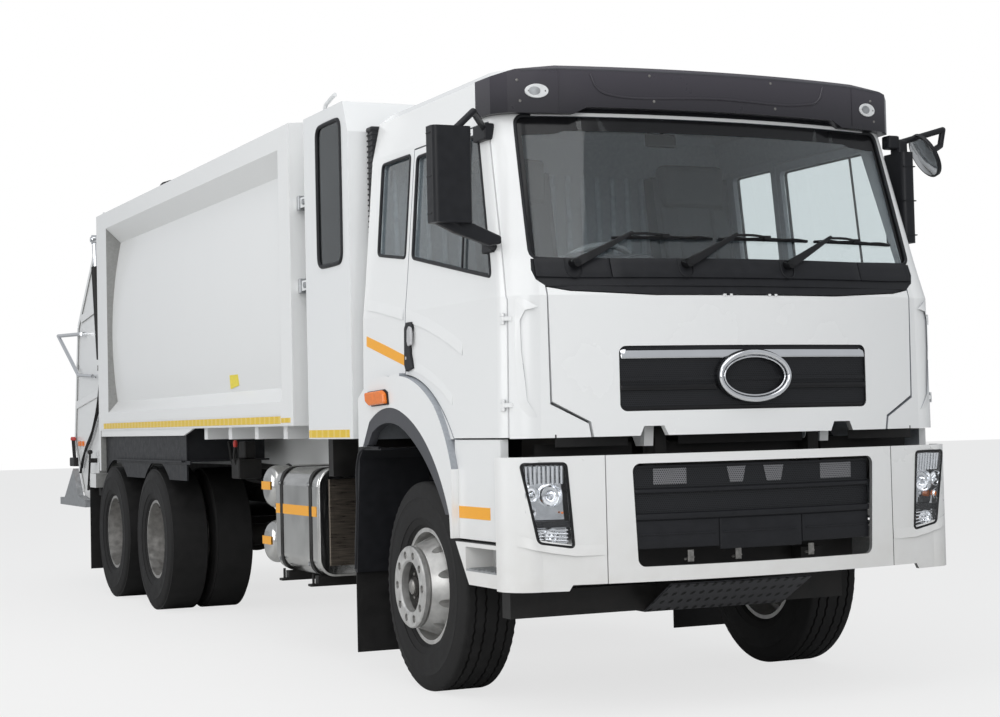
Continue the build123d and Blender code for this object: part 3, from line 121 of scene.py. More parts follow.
def rampNode(tree, value, *stops):
    ramp = addNode(tree, "ValToRGB", {"Fac": value})
    for element, (place, colour) in zip(ramp.color_ramp.elements, stops):
        element.position = place
        element.color = (*colour, 1)
    return ramp.outputs["Color"]


def rangeNode(tree, value, low, high, startLow=0.3, startHigh=0.7):
    inputs = {"Value": value, "From Min": startLow, "From Max": startHigh, "To Min": low, "To Max": high}
    return addNode(tree, "MapRange", inputs).outputs["Result"]


def addBump(tree, shader, height, strength, distance=0.002):
    bump = addNode(tree, "Bump", {"Strength": strength, "Distance": distance, "Height": height})
    tree.links.new(bump.outputs["Normal"], shader.inputs["Normal"])


def shaded(colour, share):
    return tuple(min(1, part * share) for part in colour)


def setWorld(settings):
    world = bpy.data.worlds.new("studioWorld")
    bpy.context.scene.world = world
    world.use_nodes = True
    tree = world.node_tree
    tree.nodes.clear()
    lit = addNode(tree, "Background", {"Color": settings["lightColour"], "Strength": settings["lightLevel"]})
    shown = addNode(tree, "Background", {"Color": (1, 1, 1, 1), "Strength": settings["shownLevel"]})
    rays = addNode(tree, "LightPath").outputs
    seen = mathNode(tree, "MAXIMUM", rays["Is Camera Ray"], rays["Is Transmission Ray"])
    mix = addNode(tree, "MixShader", {"Fac": seen, 1: lit.outputs[0], 2: shown.outputs[0]})
    addNode(tree, "OutputWorld", {"Surface": mix.outputs[0]})


def newMaterial(name):
    material = bpy.data.materials.new(name)
    material.use_nodes = True
    tree = material.node_tree
    return material, tree, tree.nodes["Principled BSDF"], addNode(tree, "TexCoord").outputs["Object"]


def surface(name, colour, spread, roughness, grain, metallic=0, bump=0, bumpGrain=400, stretch=None, gloss=0.5):
    material, tree, shader, vector = newMaterial(name)
    cloudy = noiseNode(tree, vector, grain, 4, stretch)
    tint = rampNode(tree, cloudy, (0.3, shaded(colour, 1 - spread)), (0.7, shaded(colour, 1 + spread)))
    fill(tree, shader, {"Base Color": tint, "Roughness": rangeNode(tree, cloudy, *roughness),
                        "Metallic": metallic, "Specular IOR Level": gloss})
    if bump:
        addBump(tree, shader, noiseNode(tree, vector, bumpGrain, 2, stretch), bump)
    return material


def linedPaint(name, outside, inside, centre, roughness=(0.2, 0.21)):
    # paint outside, dusty low down, and lining on the faces that look at the centre of the room
    material, tree, shader, vector = newMaterial(name)
    away = addNode(tree, "VectorMath", {0: vector, 1: centre}, operation="SUBTRACT").outputs[0]
    normal = tree.nodes["Texture Coordinate"].outputs["Normal"]
    facing = addNode(tree, "VectorMath", {0: normal, 1: away}, operation="DOT_PRODUCT").outputs["Value"]
    isInside = mathNode(tree, "LESS_THAN", facing, 0.0)
    cloudy = noiseNode(tree, vector, 2.2, 5)
    painted = rampNode(tree, cloudy, (0.1, shaded(outside, 0.994)), (0.9, outside))
    low = rangeNode(tree, axisNode(tree, vector, "Z"), 1, 0, 0.5, 1.1)
    grime = mathNode(tree, "MULTIPLY", low, noiseNode(tree, vector, 9, 6), True)
    dusty = mixNode(tree, mathNode(tree, "MULTIPLY", grime, 0.35), painted, (0.42, 0.36, 0.28, 1))
    lining = rampNode(tree, noiseNode(tree, vector, 60, 3), (0.3, shaded(inside, 0.85)), (0.7, inside))
    shine = mathNode(tree, "ADD", rangeNode(tree, cloudy, *roughness), mathNode(tree, "MULTIPLY", isInside, 0.4))
    fill(tree, shader, {"Base Color": mixNode(tree, isInside, dusty, lining), "Roughness": shine})
    addBump(tree, shader, noiseNode(tree, vector, 140, 2), 0.02, 0.001)
    return material


def clearGlass(name, colour, roughness=0.02):
    # light reaches what lies behind the pane, so shadow rays go straight through
    material, tree, shader, vector = newMaterial(name)
    frost = rangeNode(tree, noiseNode(tree, vector, 12, 4), roughness * 0.5, roughness * 1.6)
    fill(tree, shader, {"Base Color": (*colour, 1), "Transmission Weight": 1, "IOR": 1.45, "Roughness": frost})
    through = addNode(tree, "BsdfTransparent", {"Color": (*colour, 1)})
    rays = addNode(tree, "LightPath")
    mix = addNode(tree, "MixShader", {"Fac": rays.outputs["Is Shadow Ray"], 1: shader.outputs["BSDF"],
                                      2: through.outputs["BSDF"]})
    fill(tree, tree.nodes["Material Output"], {"Surface": mix.outputs["Shader"]})
    return material


def punchedSheet(name, colour, pitch, holeShare, holeShade, roughness=0.4):
    # staggered round holes drawn on the sheet in painted shade, the dark seen through them from in front
    material, tree, shader, vector = newMaterial(name)
    row = mathNode(tree, "DIVIDE", mathNode(tree, "MULTIPLY", axisNode(tree, vector, "Z"), 1.1547), pitch)
    shift = mathNode(tree, "MULTIPLY", mathNode(tree, "FLOOR", row), 0.5)
    across = mathNode(tree, "ADD", mathNode(tree, "DIVIDE", axisNode(tree, vector, "X"), pitch), shift)
    off = [mathNode(tree, "SUBTRACT", mathNode(tree, "FRACT", part), 0.5) for part in (across, row)]
    squares = [mathNode(tree, "MULTIPLY", part, part) for part in off]
    far = mathNode(tree, "SQRT", mathNode(tree, "ADD", *squares))
    solid = rangeNode(tree, far, 0, 1, holeShare - 0.06, holeShare + 0.06)
    tint = rampNode(tree, solid, (0.0, holeShade), (1.0, colour))
    fill(tree, shader, {"Base Color": tint, "Roughness": roughness, "Specular IOR Level": 0.25})
    addBump(tree, shader, solid, 0.5)
    return material


def plasticWithPaintedShade(name, upper, lower, bottom, top):
    # a plastic with painted shade: darker towards its lower edge, where the curved visor faces downward
    material, tree, shader, vector = newMaterial(name)
    share = rangeNode(tree, axisNode(tree, vector, "Z"), 0, 1, bottom, top)
    fill(tree, shader, {"Base Color": rampNode(tree, share, (0.0, lower), (1.0, upper)),
                        "Roughness": rangeNode(tree, noiseNode(tree, vector, 6, 4), 0.26, 0.36)})
    addBump(tree, shader, noiseNode(tree, vector, 1200, 2), 0.05)
    return material


def tapeMaterial(name, colour, pale, pitch, share):
    # reflective tape with lighter small squares along it
    material, tree, shader, vector = newMaterial(name)
    along = mathNode(tree, "FRACT", mathNode(tree, "DIVIDE", axisNode(tree, vector, "Y"), pitch))
    square = mathNode(tree, "MULTIPLY", mathNode(tree, "LESS_THAN", along, share), 0.45)
    diamonds = addNode(tree, "TexVoronoi", {"Scale": 300, "Vector": vector}).outputs["Distance"]
    tint = rampNode(tree, diamonds, (0.0, colour), (1.0, shaded(colour, 0.8)))
    fill(tree, shader, {"Base Color": mixNode(tree, square, tint, (*pale, 1)), "Roughness": 0.25})
    return material


addCamera(cameraSet)
setWorld(worldSet)
for lampName, lampValues in lampSettings.items():
    addLamp(lampName, *lampValues)
bpy.context.scene.view_settings.view_transform = "Standard"

whiteColour = (0.86, 0.865, 0.86)
finishes = {
    # the visor's grey darkens towards its lower edge as painted shade
    "visorGrey": plasticWithPaintedShade("visorGrey", (0.055, 0.05, 0.062), (0.016, 0.015, 0.019), 2.84, 3.05),
    "yellowTape": tapeMaterial("yellowTape", (0.9, 0.6, 0.02), (0.93, 0.72, 0.2), 0.1, 0.3),
}
makers = {
    linedPaint: {  # paint, lining, centre of the room and roughness
        "cabPaint": (whiteColour, (0.36, 0.38, 0.41), (0, -4.1, 2.25)),
        "crewPaint": ((0.83, 0.84, 0.84), (0.3, 0.3, 0.3), (0, -2.62, 2.25)),
        "bodyPaint": ((0.85, 0.855, 0.85), (0.3, 0.3, 0.29), (0, 0.7, 2.3)),
        "tailPaint": ((0.84, 0.845, 0.84), (0.28, 0.28, 0.27), (0, 3.75, 2.05)),
        "panelWhite": (whiteColour, (0.2, 0.2, 0.2), (0, -3.6, 1.6), (0.2, 0.3)),
        "bumperWhite": ((0.84, 0.84, 0.83), (0.2, 0.2, 0.2), (0, -3.2, 0.95), (0.25, 0.38)),
    },
    clearGlass: {
        "cabGlass": ((0.8, 0.85, 0.86),),
        "darkGlass": ((0.22, 0.25, 0.26),),
        "lampGlass": ((0.97, 0.98, 1.0), 0.01),
    },
    punchedSheet: {  # sheet, pitch, share of the hole, painted shade seen through the holes and roughness
        "grilleMesh": ((0.02, 0.021, 0.024), 0.0105, 0.3, (0.002, 0.002, 0.002), 0.3),
        "guardMesh": ((0.05, 0.05, 0.054), 0.05, 0.22, (0.004, 0.004, 0.004), 0.5),
        "palePatch": ((0.2, 0.2, 0.21), 0.0105, 0.3, (0.03, 0.03, 0.03)),
    },
    surface: {  # colour, its spread, roughness, grain, metallic, bump and its grain, stretch and gloss
        "blackPlastic": ((0.013, 0.0135, 0.016), 0.15, (0.38, 0.5), 20, 0, 0.12, 900, None, 0.28),
        "glossBlack": ((0.008, 0.008, 0.009), 0.15, (0.1, 0.2), 14, 0, 0, 400, None, 0.35),
        "trimGrey": ((0.06, 0.062, 0.07), 0.12, (0.42, 0.55), 12, 0, 0.1, 900),
        "rubber": ((0.013, 0.0125, 0.0125), 0.35, (0.62, 0.8), 14, 0, 0.25, 160, None, 0.3),
        "chrome": ((0.82, 0.83, 0.85), 0.03, (0.05, 0.12), 8, 1),
        "rimSteel": ((0.42, 0.41, 0.395), 0.22, (0.32, 0.5), 26, 0.75, 0.15, 300),
        "discSilver": ((0.55, 0.545, 0.53), 0.16, (0.3, 0.45), 22, 0.6, 0.1, 300),
        "polished": ((0.62, 0.615, 0.6), 0.12, (0.12, 0.26), 5, 1, 0.05, 60, (14, 1, 1)),
        "rimNuts": ((0.3, 0.29, 0.275), 0.3, (0.3, 0.5), 60, 0.8, 0.2, 400),
        "galvanised": ((0.4, 0.41, 0.42), 0.2, (0.35, 0.5), 30, 0.8, 0.1, 250),
        "frameBlack": ((0.014, 0.013, 0.0125), 0.35, (0.4, 0.6), 9, 0, 0.2, 120, None, 0.3),
        "castIron": ((0.03, 0.027, 0.025), 0.4, (0.5, 0.7), 12, 0.2, 0.3, 90, None, 0.3),
        "interior": ((0.17, 0.175, 0.185), 0.12, (0.5, 0.65), 10, 0, 0.15, 500),
        "seatCloth": ((0.07, 0.075, 0.085), 0.25, (0.85, 0.95), 80, 0, 0.4, 700),
        "reflector": ((0.86, 0.87, 0.88), 0.03, (0.06, 0.12), 30, 1),
        "amberPaint": ((0.85, 0.2, 0.015), 0.08, (0.15, 0.25), 60, 0, 0.3, 260),
        "redLens": ((0.55, 0.015, 0.01), 0.1, (0.12, 0.22), 60, 0, 0.3, 260),
        "orangeStripe": ((0.95, 0.42, 0.015), 0.05, (0.3, 0.4), 200),
        "yellowLabel": ((0.85, 0.7, 0.05), 0.06, (0.35, 0.45), 50),
        "trimLight": ((0.5, 0.5, 0.51), 0.08, (0.3, 0.42), 40),
        "brushedDark": ((0.2, 0.17, 0.14), 0.3, (0.25, 0.45), 9, 0.85, 0.15, 90, (1, 1, 14)),
        "liningGrey": ((0.4, 0.43, 0.47), 0.12, (0.7, 0.85), 30, 0, 0.2, 500),
        "whitePlastic": ((0.75, 0.76, 0.76), 0.05, (0.3, 0.4), 30),
        "redPaint": ((0.5, 0.03, 0.02), 0.1, (0.3, 0.4), 30),
    },
}
for maker, rows in makers.items():
    for name, values in rows.items():
        finishes[name] = maker(name, *values)

nodeFinishes = {
    "rimSteel": ("rim_middle_left", "rim_middle_right", "rim_rear_left", "rim_rear_right"),
    "discSilver": ("rim_front_left", "rim_front_right"),
    "rubber": ("tyre_front_left", "tyre_front_right", "tyre_middle_left", "tyre_middle_right", "tyre_rear_left",
               "tyre_rear_right", "mudflaps"),
    "castIron": ("front_axle", "drive_axles", "knuckle_left", "knuckle_right", "engine_block", "driveline"),
    "frameBlack": ("tie_rod", "chassis_frame", "packer_carriage", "packer_blade", "lift_barrels"),
    "guardMesh": ("guard_plate",),
    "polished": ("fuel_tank", "air_tanks"),
    "blackPlastic": ("battery_box", "mudguards", "cowl", "wipers", "air_intake", "mirror_right", "mirror_left",
                     "lower_grille"),
    "bumperWhite": ("bumper", "step_boxes"),
    "lampGlass": ("headlamps",),
    "trimGrey": ("arch_trims",),
    "cabPaint": ("cab_shell", "door_right", "door_left"),
    "crewPaint": ("crew_cabin", "crew_door"),
    "bodyPaint": ("body_shell", "subframe"),
    "tailPaint": ("tailgate",),
    "cabGlass": ("cab_glass", "door_glass_right", "door_glass_left"),
    "darkGlass": ("crew_glass",),
    "visorGrey": ("sun_visor",),
    "interior": ("dashboard",),
    "seatCloth": ("seats",),
    "panelWhite": ("front_panel",),
    "grilleMesh": ("upper_grille",),
    "galvanised": ("rear_step",),
    "chrome": ("grab_rails", "lift_rods"),
    "redLens": ("tail_lamps",),
}
for finishName, nodeNames in nodeFinishes.items():
    for nodeName in nodeNames:
        mesh = nodes[nodeName].data
        mesh.materials.clear()
        mesh.materials.append(finishes[finishName])
print("materials set on the frame's nodes")

bpy.ops.mesh.primitive_plane_add(size=floorSet["size"])
ground = bpy.context.object
ground.name = "paleFloor"
floorMaterial, tree, shader, vector = newMaterial("paleFloorFinish")
fill(tree, shader, {"Base Color": floorSet["colour"], "Roughness": floorSet["roughness"]})
glow = addNode(tree, "Emission", {"Strength": 1})
share = mathNode(tree, "MULTIPLY", addNode(tree, "LightPath").outputs["Is Camera Ray"], floorSet["glow"])
mix = addNode(tree, "MixShader", {"Fac": share, 1: shader.outputs["BSDF"], 2: glow.outputs["Emission"]})
fill(tree, tree.nodes["Material Output"], {"Surface": mix.outputs["Shader"]})
ground.data.materials.append(floorMaterial)

cabRows = ((1.295, 1.215, 0.06), (1.955, 1.205, 0.06), (2.13, 1.188, 0.12), (2.83, 1.13, 0.34),
           (3.04, 1.085, 0.43), (3.085, 1.03, 0.52))  # height, half width, front station
bowLength = 8.2
cornerRound = 0.15


def roundedFront(x, halfWidth, front):
    edge = halfWidth - cornerRound
    across = abs(x)
    if across <= edge:
        return front + across * across / bowLength
    over = min(across - edge, cornerRound)
    return front + edge * edge / bowLength + cornerRound - sqrt(cornerRound * cornerRound - over * over)


def cabRow(height):
    for low, high in zip(cabRows, cabRows[1:]):
        if height <= high[0]:
            share = max(0, (height - low[0]) / (high[0] - low[0]))
            return low[1] + share * (high[1] - low[1]), low[2] + share * (high[2] - low[2])
    return cabRows[-1][1:]


def cabFront(x, height):
    return roundedFront(x, *cabRow(height))


def screenFace(x, height):
    return cabFront(x, height) + 0.0145


def bumperFront(x, height):
    return roundedFront(x, 1.245, 0)


def grilleFront(x, height):
    return 0.03 + x * x / bowLength


def meshFace(x, height):
    return 0.07 + x * x / bowLength


def visorFront(x, height):
    return 0.292 + 0.14 * (x / 1.085) ** 2


def backSlope(height):
    return 9.6 + (height - 0.8) * 0.37 / 0.475


def startClean():
    if bpy.context.object and bpy.context.object.mode != "OBJECT":
        bpy.ops.object.mode_set(mode="OBJECT")
    bpy.ops.object.select_all(action="DESELECT")


def pick(piece):
    startClean()
    piece.select_set(True)
    bpy.context.view_layer.objects.active = piece


def bakePlace():
    bpy.ops.object.transform_apply(location=True, rotation=True, scale=True)
    return bpy.context.object


def useModifier(piece, kind, **settings):
    bpy.context.view_layer.objects.active = piece
    modifier = piece.modifiers.new(kind.lower(), kind)
    for key, value in settings.items():
        setattr(modifier, key, value)
    bpy.ops.object.modifier_apply(modifier=modifier.name)


def roundEdges(piece, edge, segments=2):
    if edge:
        useModifier(piece, "BEVEL", width=edge, segments=segments, limit_method="ANGLE")


def fixNormals(piece):
    pick(piece)
    bpy.ops.object.mode_set(mode="EDIT")
    bpy.ops.mesh.select_all(action="SELECT")
    bpy.ops.mesh.remove_doubles(threshold=0.00005)
    bpy.ops.mesh.delete_loose()
    bpy.ops.mesh.normals_make_consistent(inside=False)
    bpy.ops.object.mode_set(mode="OBJECT")
    piece.data.calc_loop_triangles()
    spots = piece.data.vertices
    middle = sum((vertex.co for vertex in spots), Vector()) / len(spots)
    held = 0
    for triangle in piece.data.loop_triangles:  # six times the volume, below zero when it is inside out
        first, second, third = (spots[index].co - middle for index in triangle.vertices)
        held += first.dot(second.cross(third))
    if held < 0:
        piece.data.flip_normals()


def bar(low, high, edge=0.002, segments=2):
    # a block between two corners given as x, station and height, with its edges rounded
    startClean()
    first, last = spot(*low), spot(*high)
    bpy.ops.mesh.primitive_cube_add(size=1, location=(first + last) / 2)
    bpy.context.object.scale = [abs(part) for part in last - first]
    piece = bakePlace()
    useModifier(piece, "BEVEL", width=edge, segments=segments)
    return piece


def bothBars(low, high, edge=0.002):
    # the same block on each side of the truck
    return [bar((side * low[0], *low[1:]), (side * high[0], *high[1:]), edge) for side in (-1, 1)]


def slab(points, axis, start, end, edge=0.002, segments=2):
    # an outline carried along one axis: X with stations and heights, Y with x and heights
    startClean()
    bpy.ops.mesh.primitive_circle_add(vertices=len(points), fill_type="NGON")
    piece = bpy.context.object
    for vertex, (first, second) in zip(piece.data.vertices, points):
        vertex.co = spot(start, first, second) if axis == "X" else spot(first, start, second)
    push = (end - start, 0, 0) if axis == "X" else (0, end - start, 0)
    bpy.ops.object.mode_set(mode="EDIT")
    bpy.ops.mesh.select_all(action="SELECT")
    bpy.ops.mesh.extrude_region_move(TRANSFORM_OT_translate={"value": push})
    bpy.ops.object.mode_set(mode="OBJECT")
    fixNormals(piece)
    roundEdges(piece, edge, segments)
    return piece


def pipe(points, radius, closed=False, sides=6):
    # a round bar or hose through points given as x, station and height
    startClean()
    bpy.ops.curve.primitive_bezier_curve_add()
    piece = bpy.context.object
    spline = piece.data.splines[0]
    spline.bezier_points.add(len(points) - 2)
    for knot, point in zip(spline.bezier_points, points):
        knot.co = spot(*point)
        knot.handle_left_type = knot.handle_right_type = "AUTO"
        knot.radius = 1
    spline.use_cyclic_u = closed
    piece.location = (0, 0, 0)
    piece.data.bevel_depth = radius
    piece.data.bevel_resolution = sides
    piece.data.resolution_u = 8
    piece.data.use_fill_caps = True
    bpy.ops.object.convert(target="MESH")
    piece = bpy.context.object
    fixNormals(piece)
    bpy.ops.object.shade_smooth_by_angle(angle=radians(40))
    return piece


def turned(profile, centre, axis="X", steps=32, flip=1):
    # a profile of radius and distance along the axis, turned about it
    startClean()
    bpy.ops.mesh.primitive_circle_add(vertices=len(profile))
    piece = bpy.context.object
    middle = spot(*centre)
    straight = {"X": (1, 0, 0), "Y": (0, 1, 0), "Z": (0, 0, 1)}
    along = Vector(straight.get(axis, axis)).normalized() * flip
    outward = Vector((0, 0, 1)) if axis in ("X", "Y") else along.orthogonal().normalized()
    for vertex, (radius, distance) in zip(piece.data.vertices, profile):
        vertex.co = middle + outward * radius + along * distance
    bpy.ops.object.mode_set(mode="EDIT")
    bpy.ops.mesh.select_all(action="SELECT")
    bpy.ops.mesh.spin(steps=steps, angle=2 * pi, center=middle, axis=along)
    bpy.ops.object.mode_set(mode="OBJECT")
    fixNormals(piece)
    bpy.ops.object.shade_smooth_by_angle(angle=radians(35))
    return piece


def knob(profile, centre, axis="X", steps=32, flip=1):
    # a turned piece that is closed at its middle, where both ends of its profile run in
    return turned([(0.0005, profile[0]), *profile[1:-1], (0.0005, profile[-1])], centre, axis, steps, flip)


def between(points, share):
    place = share * (len(points) - 1)
    index = min(int(place), len(points) - 2)
    part = place - index
    return [low + part * (high - low) for low, high in zip(points[index], points[index + 1])]


def ruled(lower, upper, place, thickness, columns=24, rows=2, edge=0.0):
    # a skin between two lines laid on a surface by the place function, then given its thickness
    startClean()
    bpy.ops.mesh.primitive_grid_add(x_subdivisions=columns, y_subdivisions=rows, size=1)
    piece = bpy.context.object
    for vertex in piece.data.vertices:
        low, high = between(lower, vertex.co.x + 0.5), between(upper, vertex.co.x + 0.5)
        part = vertex.co.y + 0.5
        vertex.co = place(*[a + part * (b - a) for a, b in zip(low, high)])
    useModifier(piece, "SOLIDIFY", thickness=thickness, offset=-1)
    fixNormals(piece)
    roundEdges(piece, edge)
    bpy.ops.object.shade_smooth_by_angle(angle=radians(35))
    return piece


def onFront(face, lift):
    return lambda x, height: spot(x, face(x, height) - lift, height)


def onSide(side, lift, wall=None):
    # wall is the half width of a flat side; the cab's own side leans
    return lambda station, height: spot(side * ((wall or cabRow(height)[0]) + lift), station, height)


def joined(parts):
    startClean()
    for part in parts:
        part.select_set(True)
    bpy.context.view_layer.objects.active = parts[0]
    if len(parts) > 1:
        bpy.ops.object.join()
    return bpy.context.view_layer.objects.active


def ready(parts, name, finish, body, replaced=()):
    # joins the parts, bakes their place into the mesh and hands the piece over
    piece = joined(parts if isinstance(parts, list) else [parts])
    bakePlace()
    piece.name = piece.data.name = name
    piece.data.materials.clear()
    piece.data.materials.append(finishes[finish])
    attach(piece, body)
    if replaced:
        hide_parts(*replaced)


def aroundX(piece, count, centre):
    # copies of a piece turned about an axis along X, each with its own mesh
    copies = [piece]
    for index in range(1, count):
        pick(piece)
        bpy.ops.object.duplicate()
        copy = bpy.context.object
        turn = Matrix.Translation(centre) @ Matrix.Rotation(2 * pi * index / count, 4, "X")
        copy.data.transform(turn @ Matrix.Translation(-centre))
        copies.append(copy)
    return copies


def oval(x, height, halfX, halfZ, count=28):
    return [(x + halfX * cos(2 * pi * step / count), height + halfZ * sin(2 * pi * step / count))
            for step in range(count)]


def laid(piece, move):
    # shifts every point by what the surface does there
    for vertex in piece.data.vertices:
        vertex.co += move(vertex.co)
    return piece


def frontPlate(points, face, lift, depth, edge=0.002):
    piece = slab(points, "Y", -lift, depth - lift, edge)
    return laid(piece, lambda co: Vector((0, face(co.x, co.z), 0)))


def sidePlate(points, side, lift, depth, edge=0.002, wall=None):
    piece = slab(points, "X", side * lift, side * (lift - depth), edge)
    return laid(piece, lambda co: Vector((side * (wall or cabRow(co.z)[0]), 0, 0)))


def frontStrip(low, high, start, end, face, lift, thickness, columns, rows, edge=0.0):
    # a strip of even height laid on a front surface
    middle = (start + end) / 2
    lines = [[(start, height), (middle, height), (end, height)] for height in (low, high)]
    return ruled(*lines, onFront(face, lift), thickness, columns, rows, edge)


def sideStrip(side, lower, upper, lift, thickness, columns=12, rows=2, wall=None):
    # lines run forwards on the driver's side and are turned round for the other
    if side > 0:
        lower, upper = lower[::-1], upper[::-1]
    return ruled(lower, upper, onSide(side, lift, wall), thickness, columns, rows)


def flatStrip(side, start, end, low, high, lift, thickness, columns, wall=1.245):
    # a level strip on a flat side, from a rear station to a front one
    return sideStrip(side, [(start, low), (end, low)], [(start, high), (end, high)], lift, thickness, columns, 1, wall)


def rounded(corners, radius, steps=5):
    # the corners of an outline rounded off, as a longer list of points
    points = []
    count = len(corners)
    for index in range(count):
        here = Vector(corners[index])
        before, after = Vector(corners[index - 1]), Vector(corners[(index + 1) % count])
        first, last = (before - here).normalized() * radius, (after - here).normalized() * radius
        for step in range(steps + 1):
            share = step / steps
            points.append(tuple(here + first * (1 - share) ** 2 + last * share ** 2))
    return points


def frontPipe(points, face, lift, radius, closed=False, sides=6):
    # a bar that follows a front surface through points of x and height
    return pipe([(x, face(x, z) + lift, z) for x, z in points], radius, closed, sides)


def domes(places, face, radius, lift=0.0):
    return [knob([0, (radius, 0), (radius * 0.85, radius * 0.35), radius * 0.5], (x, face(x, height) - lift, height),
                 "Y", 12, -1) for x, height in places]


tyreSet = {"radius": 0.538, "grooveDepth": 0.013, "frontSteps": 120, "blocks": 36,
           "frontGrooves": (-0.088, -0.034, 0.034, 0.088), "grooveHalf": 0.006,
           "frontCrown": ((0.144, 0.512), (0.139, 0.527), (0.131, 0.5355), (0.12, 0.538)),
           "rearCrown": ((0.145, 0.508), (0.139, 0.518)),
           "rearColumns": (-0.13, -0.088, -0.08, -0.034, -0.027, 0.027, 0.034, 0.08, 0.088, 0.13),
           "side": ((0.106, 0.292), (0.119, 0.298), (0.131, 0.313), (0.1335, 0.317), (0.136, 0.316), (0.146, 0.345),
                    (0.148, 0.352), (0.1505, 0.351), (0.155, 0.39), (0.156, 0.42), (0.1545, 0.452), (0.1565, 0.456),
                    (0.1545, 0.46), (0.1515, 0.482), (0.148, 0.492))}
axleHeight = tyreSet["radius"]
wheels = {  # x of each tyre's middle, station
    "front_left": ((1.01,), 1.438), "front_right": ((-1.01,), 1.438),
    "middle_left": ((1.09, 0.745), 6.725), "middle_right": ((-1.09, -0.745), 6.725),
    "rear_left": ((1.09, 0.745), 8.075), "rear_right": ((-1.09, -0.745), 8.075),
}


def tyreShell(edgePoints, tread, x, station, steps):
    # the side wall and crown of one half, the tread's points, then the other half in reverse
    half = list(tyreSet["side"]) + list(edgePoints)
    profile = half + tread + [(-across, height) for across, height in reversed(half)]
    return turned([(height, across) for across, height in profile], (x, station, axleHeight), "X", steps)


def polar(away):
    return sqrt(away.y ** 2 + away.z ** 2), atan2(away.z, away.y)


def frontTyre(x, station):
    half, depth, radius = tyreSet["grooveHalf"], tyreSet["grooveDepth"], tyreSet["radius"]
    tread = []
    for groove in reversed(tyreSet["frontGrooves"]):
        tread += [(groove + half, radius), (groove + half * 0.6, radius - depth), (groove - half * 0.6, radius - depth),
                  (groove - half, radius)]
    steps = tyreSet["frontSteps"]
    piece = tyreShell(tyreSet["frontCrown"], tread, x, station, steps)
    middle = spot(x, station, axleHeight)
    for vertex in piece.data.vertices:
        away = vertex.co - middle
        reach, angle = polar(away)
        odd = round(angle / (2 * pi / steps)) % 2
        if reach > 0.52 and abs(away.x) < 0.115:  # the grooves wander from side to side
            vertex.co.x += 0.0035 * (1 if odd else -1)
        elif 0.505 < reach < 0.53 and odd:  # notches along the shoulder
            vertex.co.x -= 0.005 * (1 if away.x > 0 else -1)
    return piece


def rearTyre(x, station):
    depth, radius, columns = tyreSet["grooveDepth"], tyreSet["radius"], tyreSet["rearColumns"]
    base = radius - depth
    steps = tyreSet["blocks"] * 4
    piece = tyreShell(tyreSet["rearCrown"], [(across, base) for across in reversed(columns)], x, station, steps)
    middle = spot(x, station, axleHeight)
    turn = 2 * pi / steps
    for face in piece.data.polygons:
        away = face.center - middle
        reach, angle = polar(away)
        column = sum(1 for across in columns if away.x > across)
        face.select = abs(reach - base) < 0.002 and column % 2 == 1 and int(floor(angle / turn)) % 4 != 3
    for part in (*piece.data.edges, *piece.data.vertices):
        part.select = False
    pick(piece)
    bpy.ops.object.mode_set(mode="EDIT")
    bpy.ops.mesh.select_mode(type="FACE")
    bpy.ops.mesh.extrude_region_shrink_fatten(TRANSFORM_OT_shrink_fatten={"value": depth})
    bpy.ops.mesh.select_mode(type="VERT")
    bpy.ops.object.mode_set(mode="OBJECT")
    for vertex in piece.data.vertices:
        away = vertex.co - middle
        reach, angle = polar(away)
        if reach < base - 0.004:
            continue
        index = sum(1 for across in columns if away.x > across + 0.001)
        step = round(angle / turn)
        angle += turn * (0.62 if step % 4 == 3 else 0)  # the cross grooves are narrower than the blocks
        angle += turn * (1.1 if (index // 2) % 2 else 0)
        reach = min(reach, radius)
        vertex.co = middle + Vector((away.x, reach * cos(angle), reach * sin(angle)))
    bpy.ops.object.shade_smooth_by_angle(angle=radians(30))
    return piece


for wheelName, (places, station) in wheels.items():
    make = frontTyre if wheelName.startswith("front") else rearTyre
    ready([make(x, station) for x in places], "treadTyre_" + wheelName, "rubber", "wheel_" + wheelName,
          ["tyre_" + wheelName])
print("tyres made")

# each drill has its circle, radius, near and far face and turn
hubSet = {"studs": 10, "studCircle": 0.1675, "nutRadius": 0.019, "nutLength": 0.028, "rearFace": 0.9505,
          "collar": ((0.001, 0), (0.026, 0), (0.026, 0.004), (0.021, 0.008), (0.001, 0.008)),
          "stud": (1.231, (0.009, 1.231), (0.0115, 1.228), (0.0115, 1.2), 1.2),
          "ringBolt": (0, (0.009, 0), (0.009, 0.006), (0.007, 0.008), 0.008), "ringBolts": 8,
          "cap": ((0.001, 0), (0.038, 0), (0.038, 0.008), (0.03, 0.014), (0.001, 0.016)),
          "capFace": (1.0425, 1.214), "boltDepth": (0.006, 0.035), "boltCircle": (0.068, 0.085),
          "disc": ((0.266, 1.03), (0.266, 1.06), (0.257, 1.085), (0.238, 1.13), (0.222, 1.165), (0.214, 1.186),
                   (0.21, 1.196), (0.19, 1.197), (0.19, 1.205), (0.208, 1.206), (0.21, 1.21), (0.21, 1.229),
                   (0.204, 1.236), (0.136, 1.236), (0.128, 1.228), (0.128, 1.19), (0.185, 1.18), (0.21, 1.13),
                   (0.235, 1.075), (0.245, 1.03)),
          "hub": (1.214, (0.04, 1.214), (0.052, 1.205), (0.056, 1.182), (0.1, 1.178), (0.11, 1.166), (0.124, 1.15),
                  (0.126, 1.12), 1.12),
          "drills": ((0.1675, 0.0205, 1.206, 1.3, 18), (0.247, 0.024, 0.9, 1.3, 0))}


def rod(sides, radius, near, far, station, height):
    startClean()
    bpy.ops.mesh.primitive_cylinder_add(vertices=sides, radius=radius, depth=abs(far - near), rotation=(0, pi / 2, 0),
                                        location=spot((near + far) / 2, station, height))
    return bakePlace()


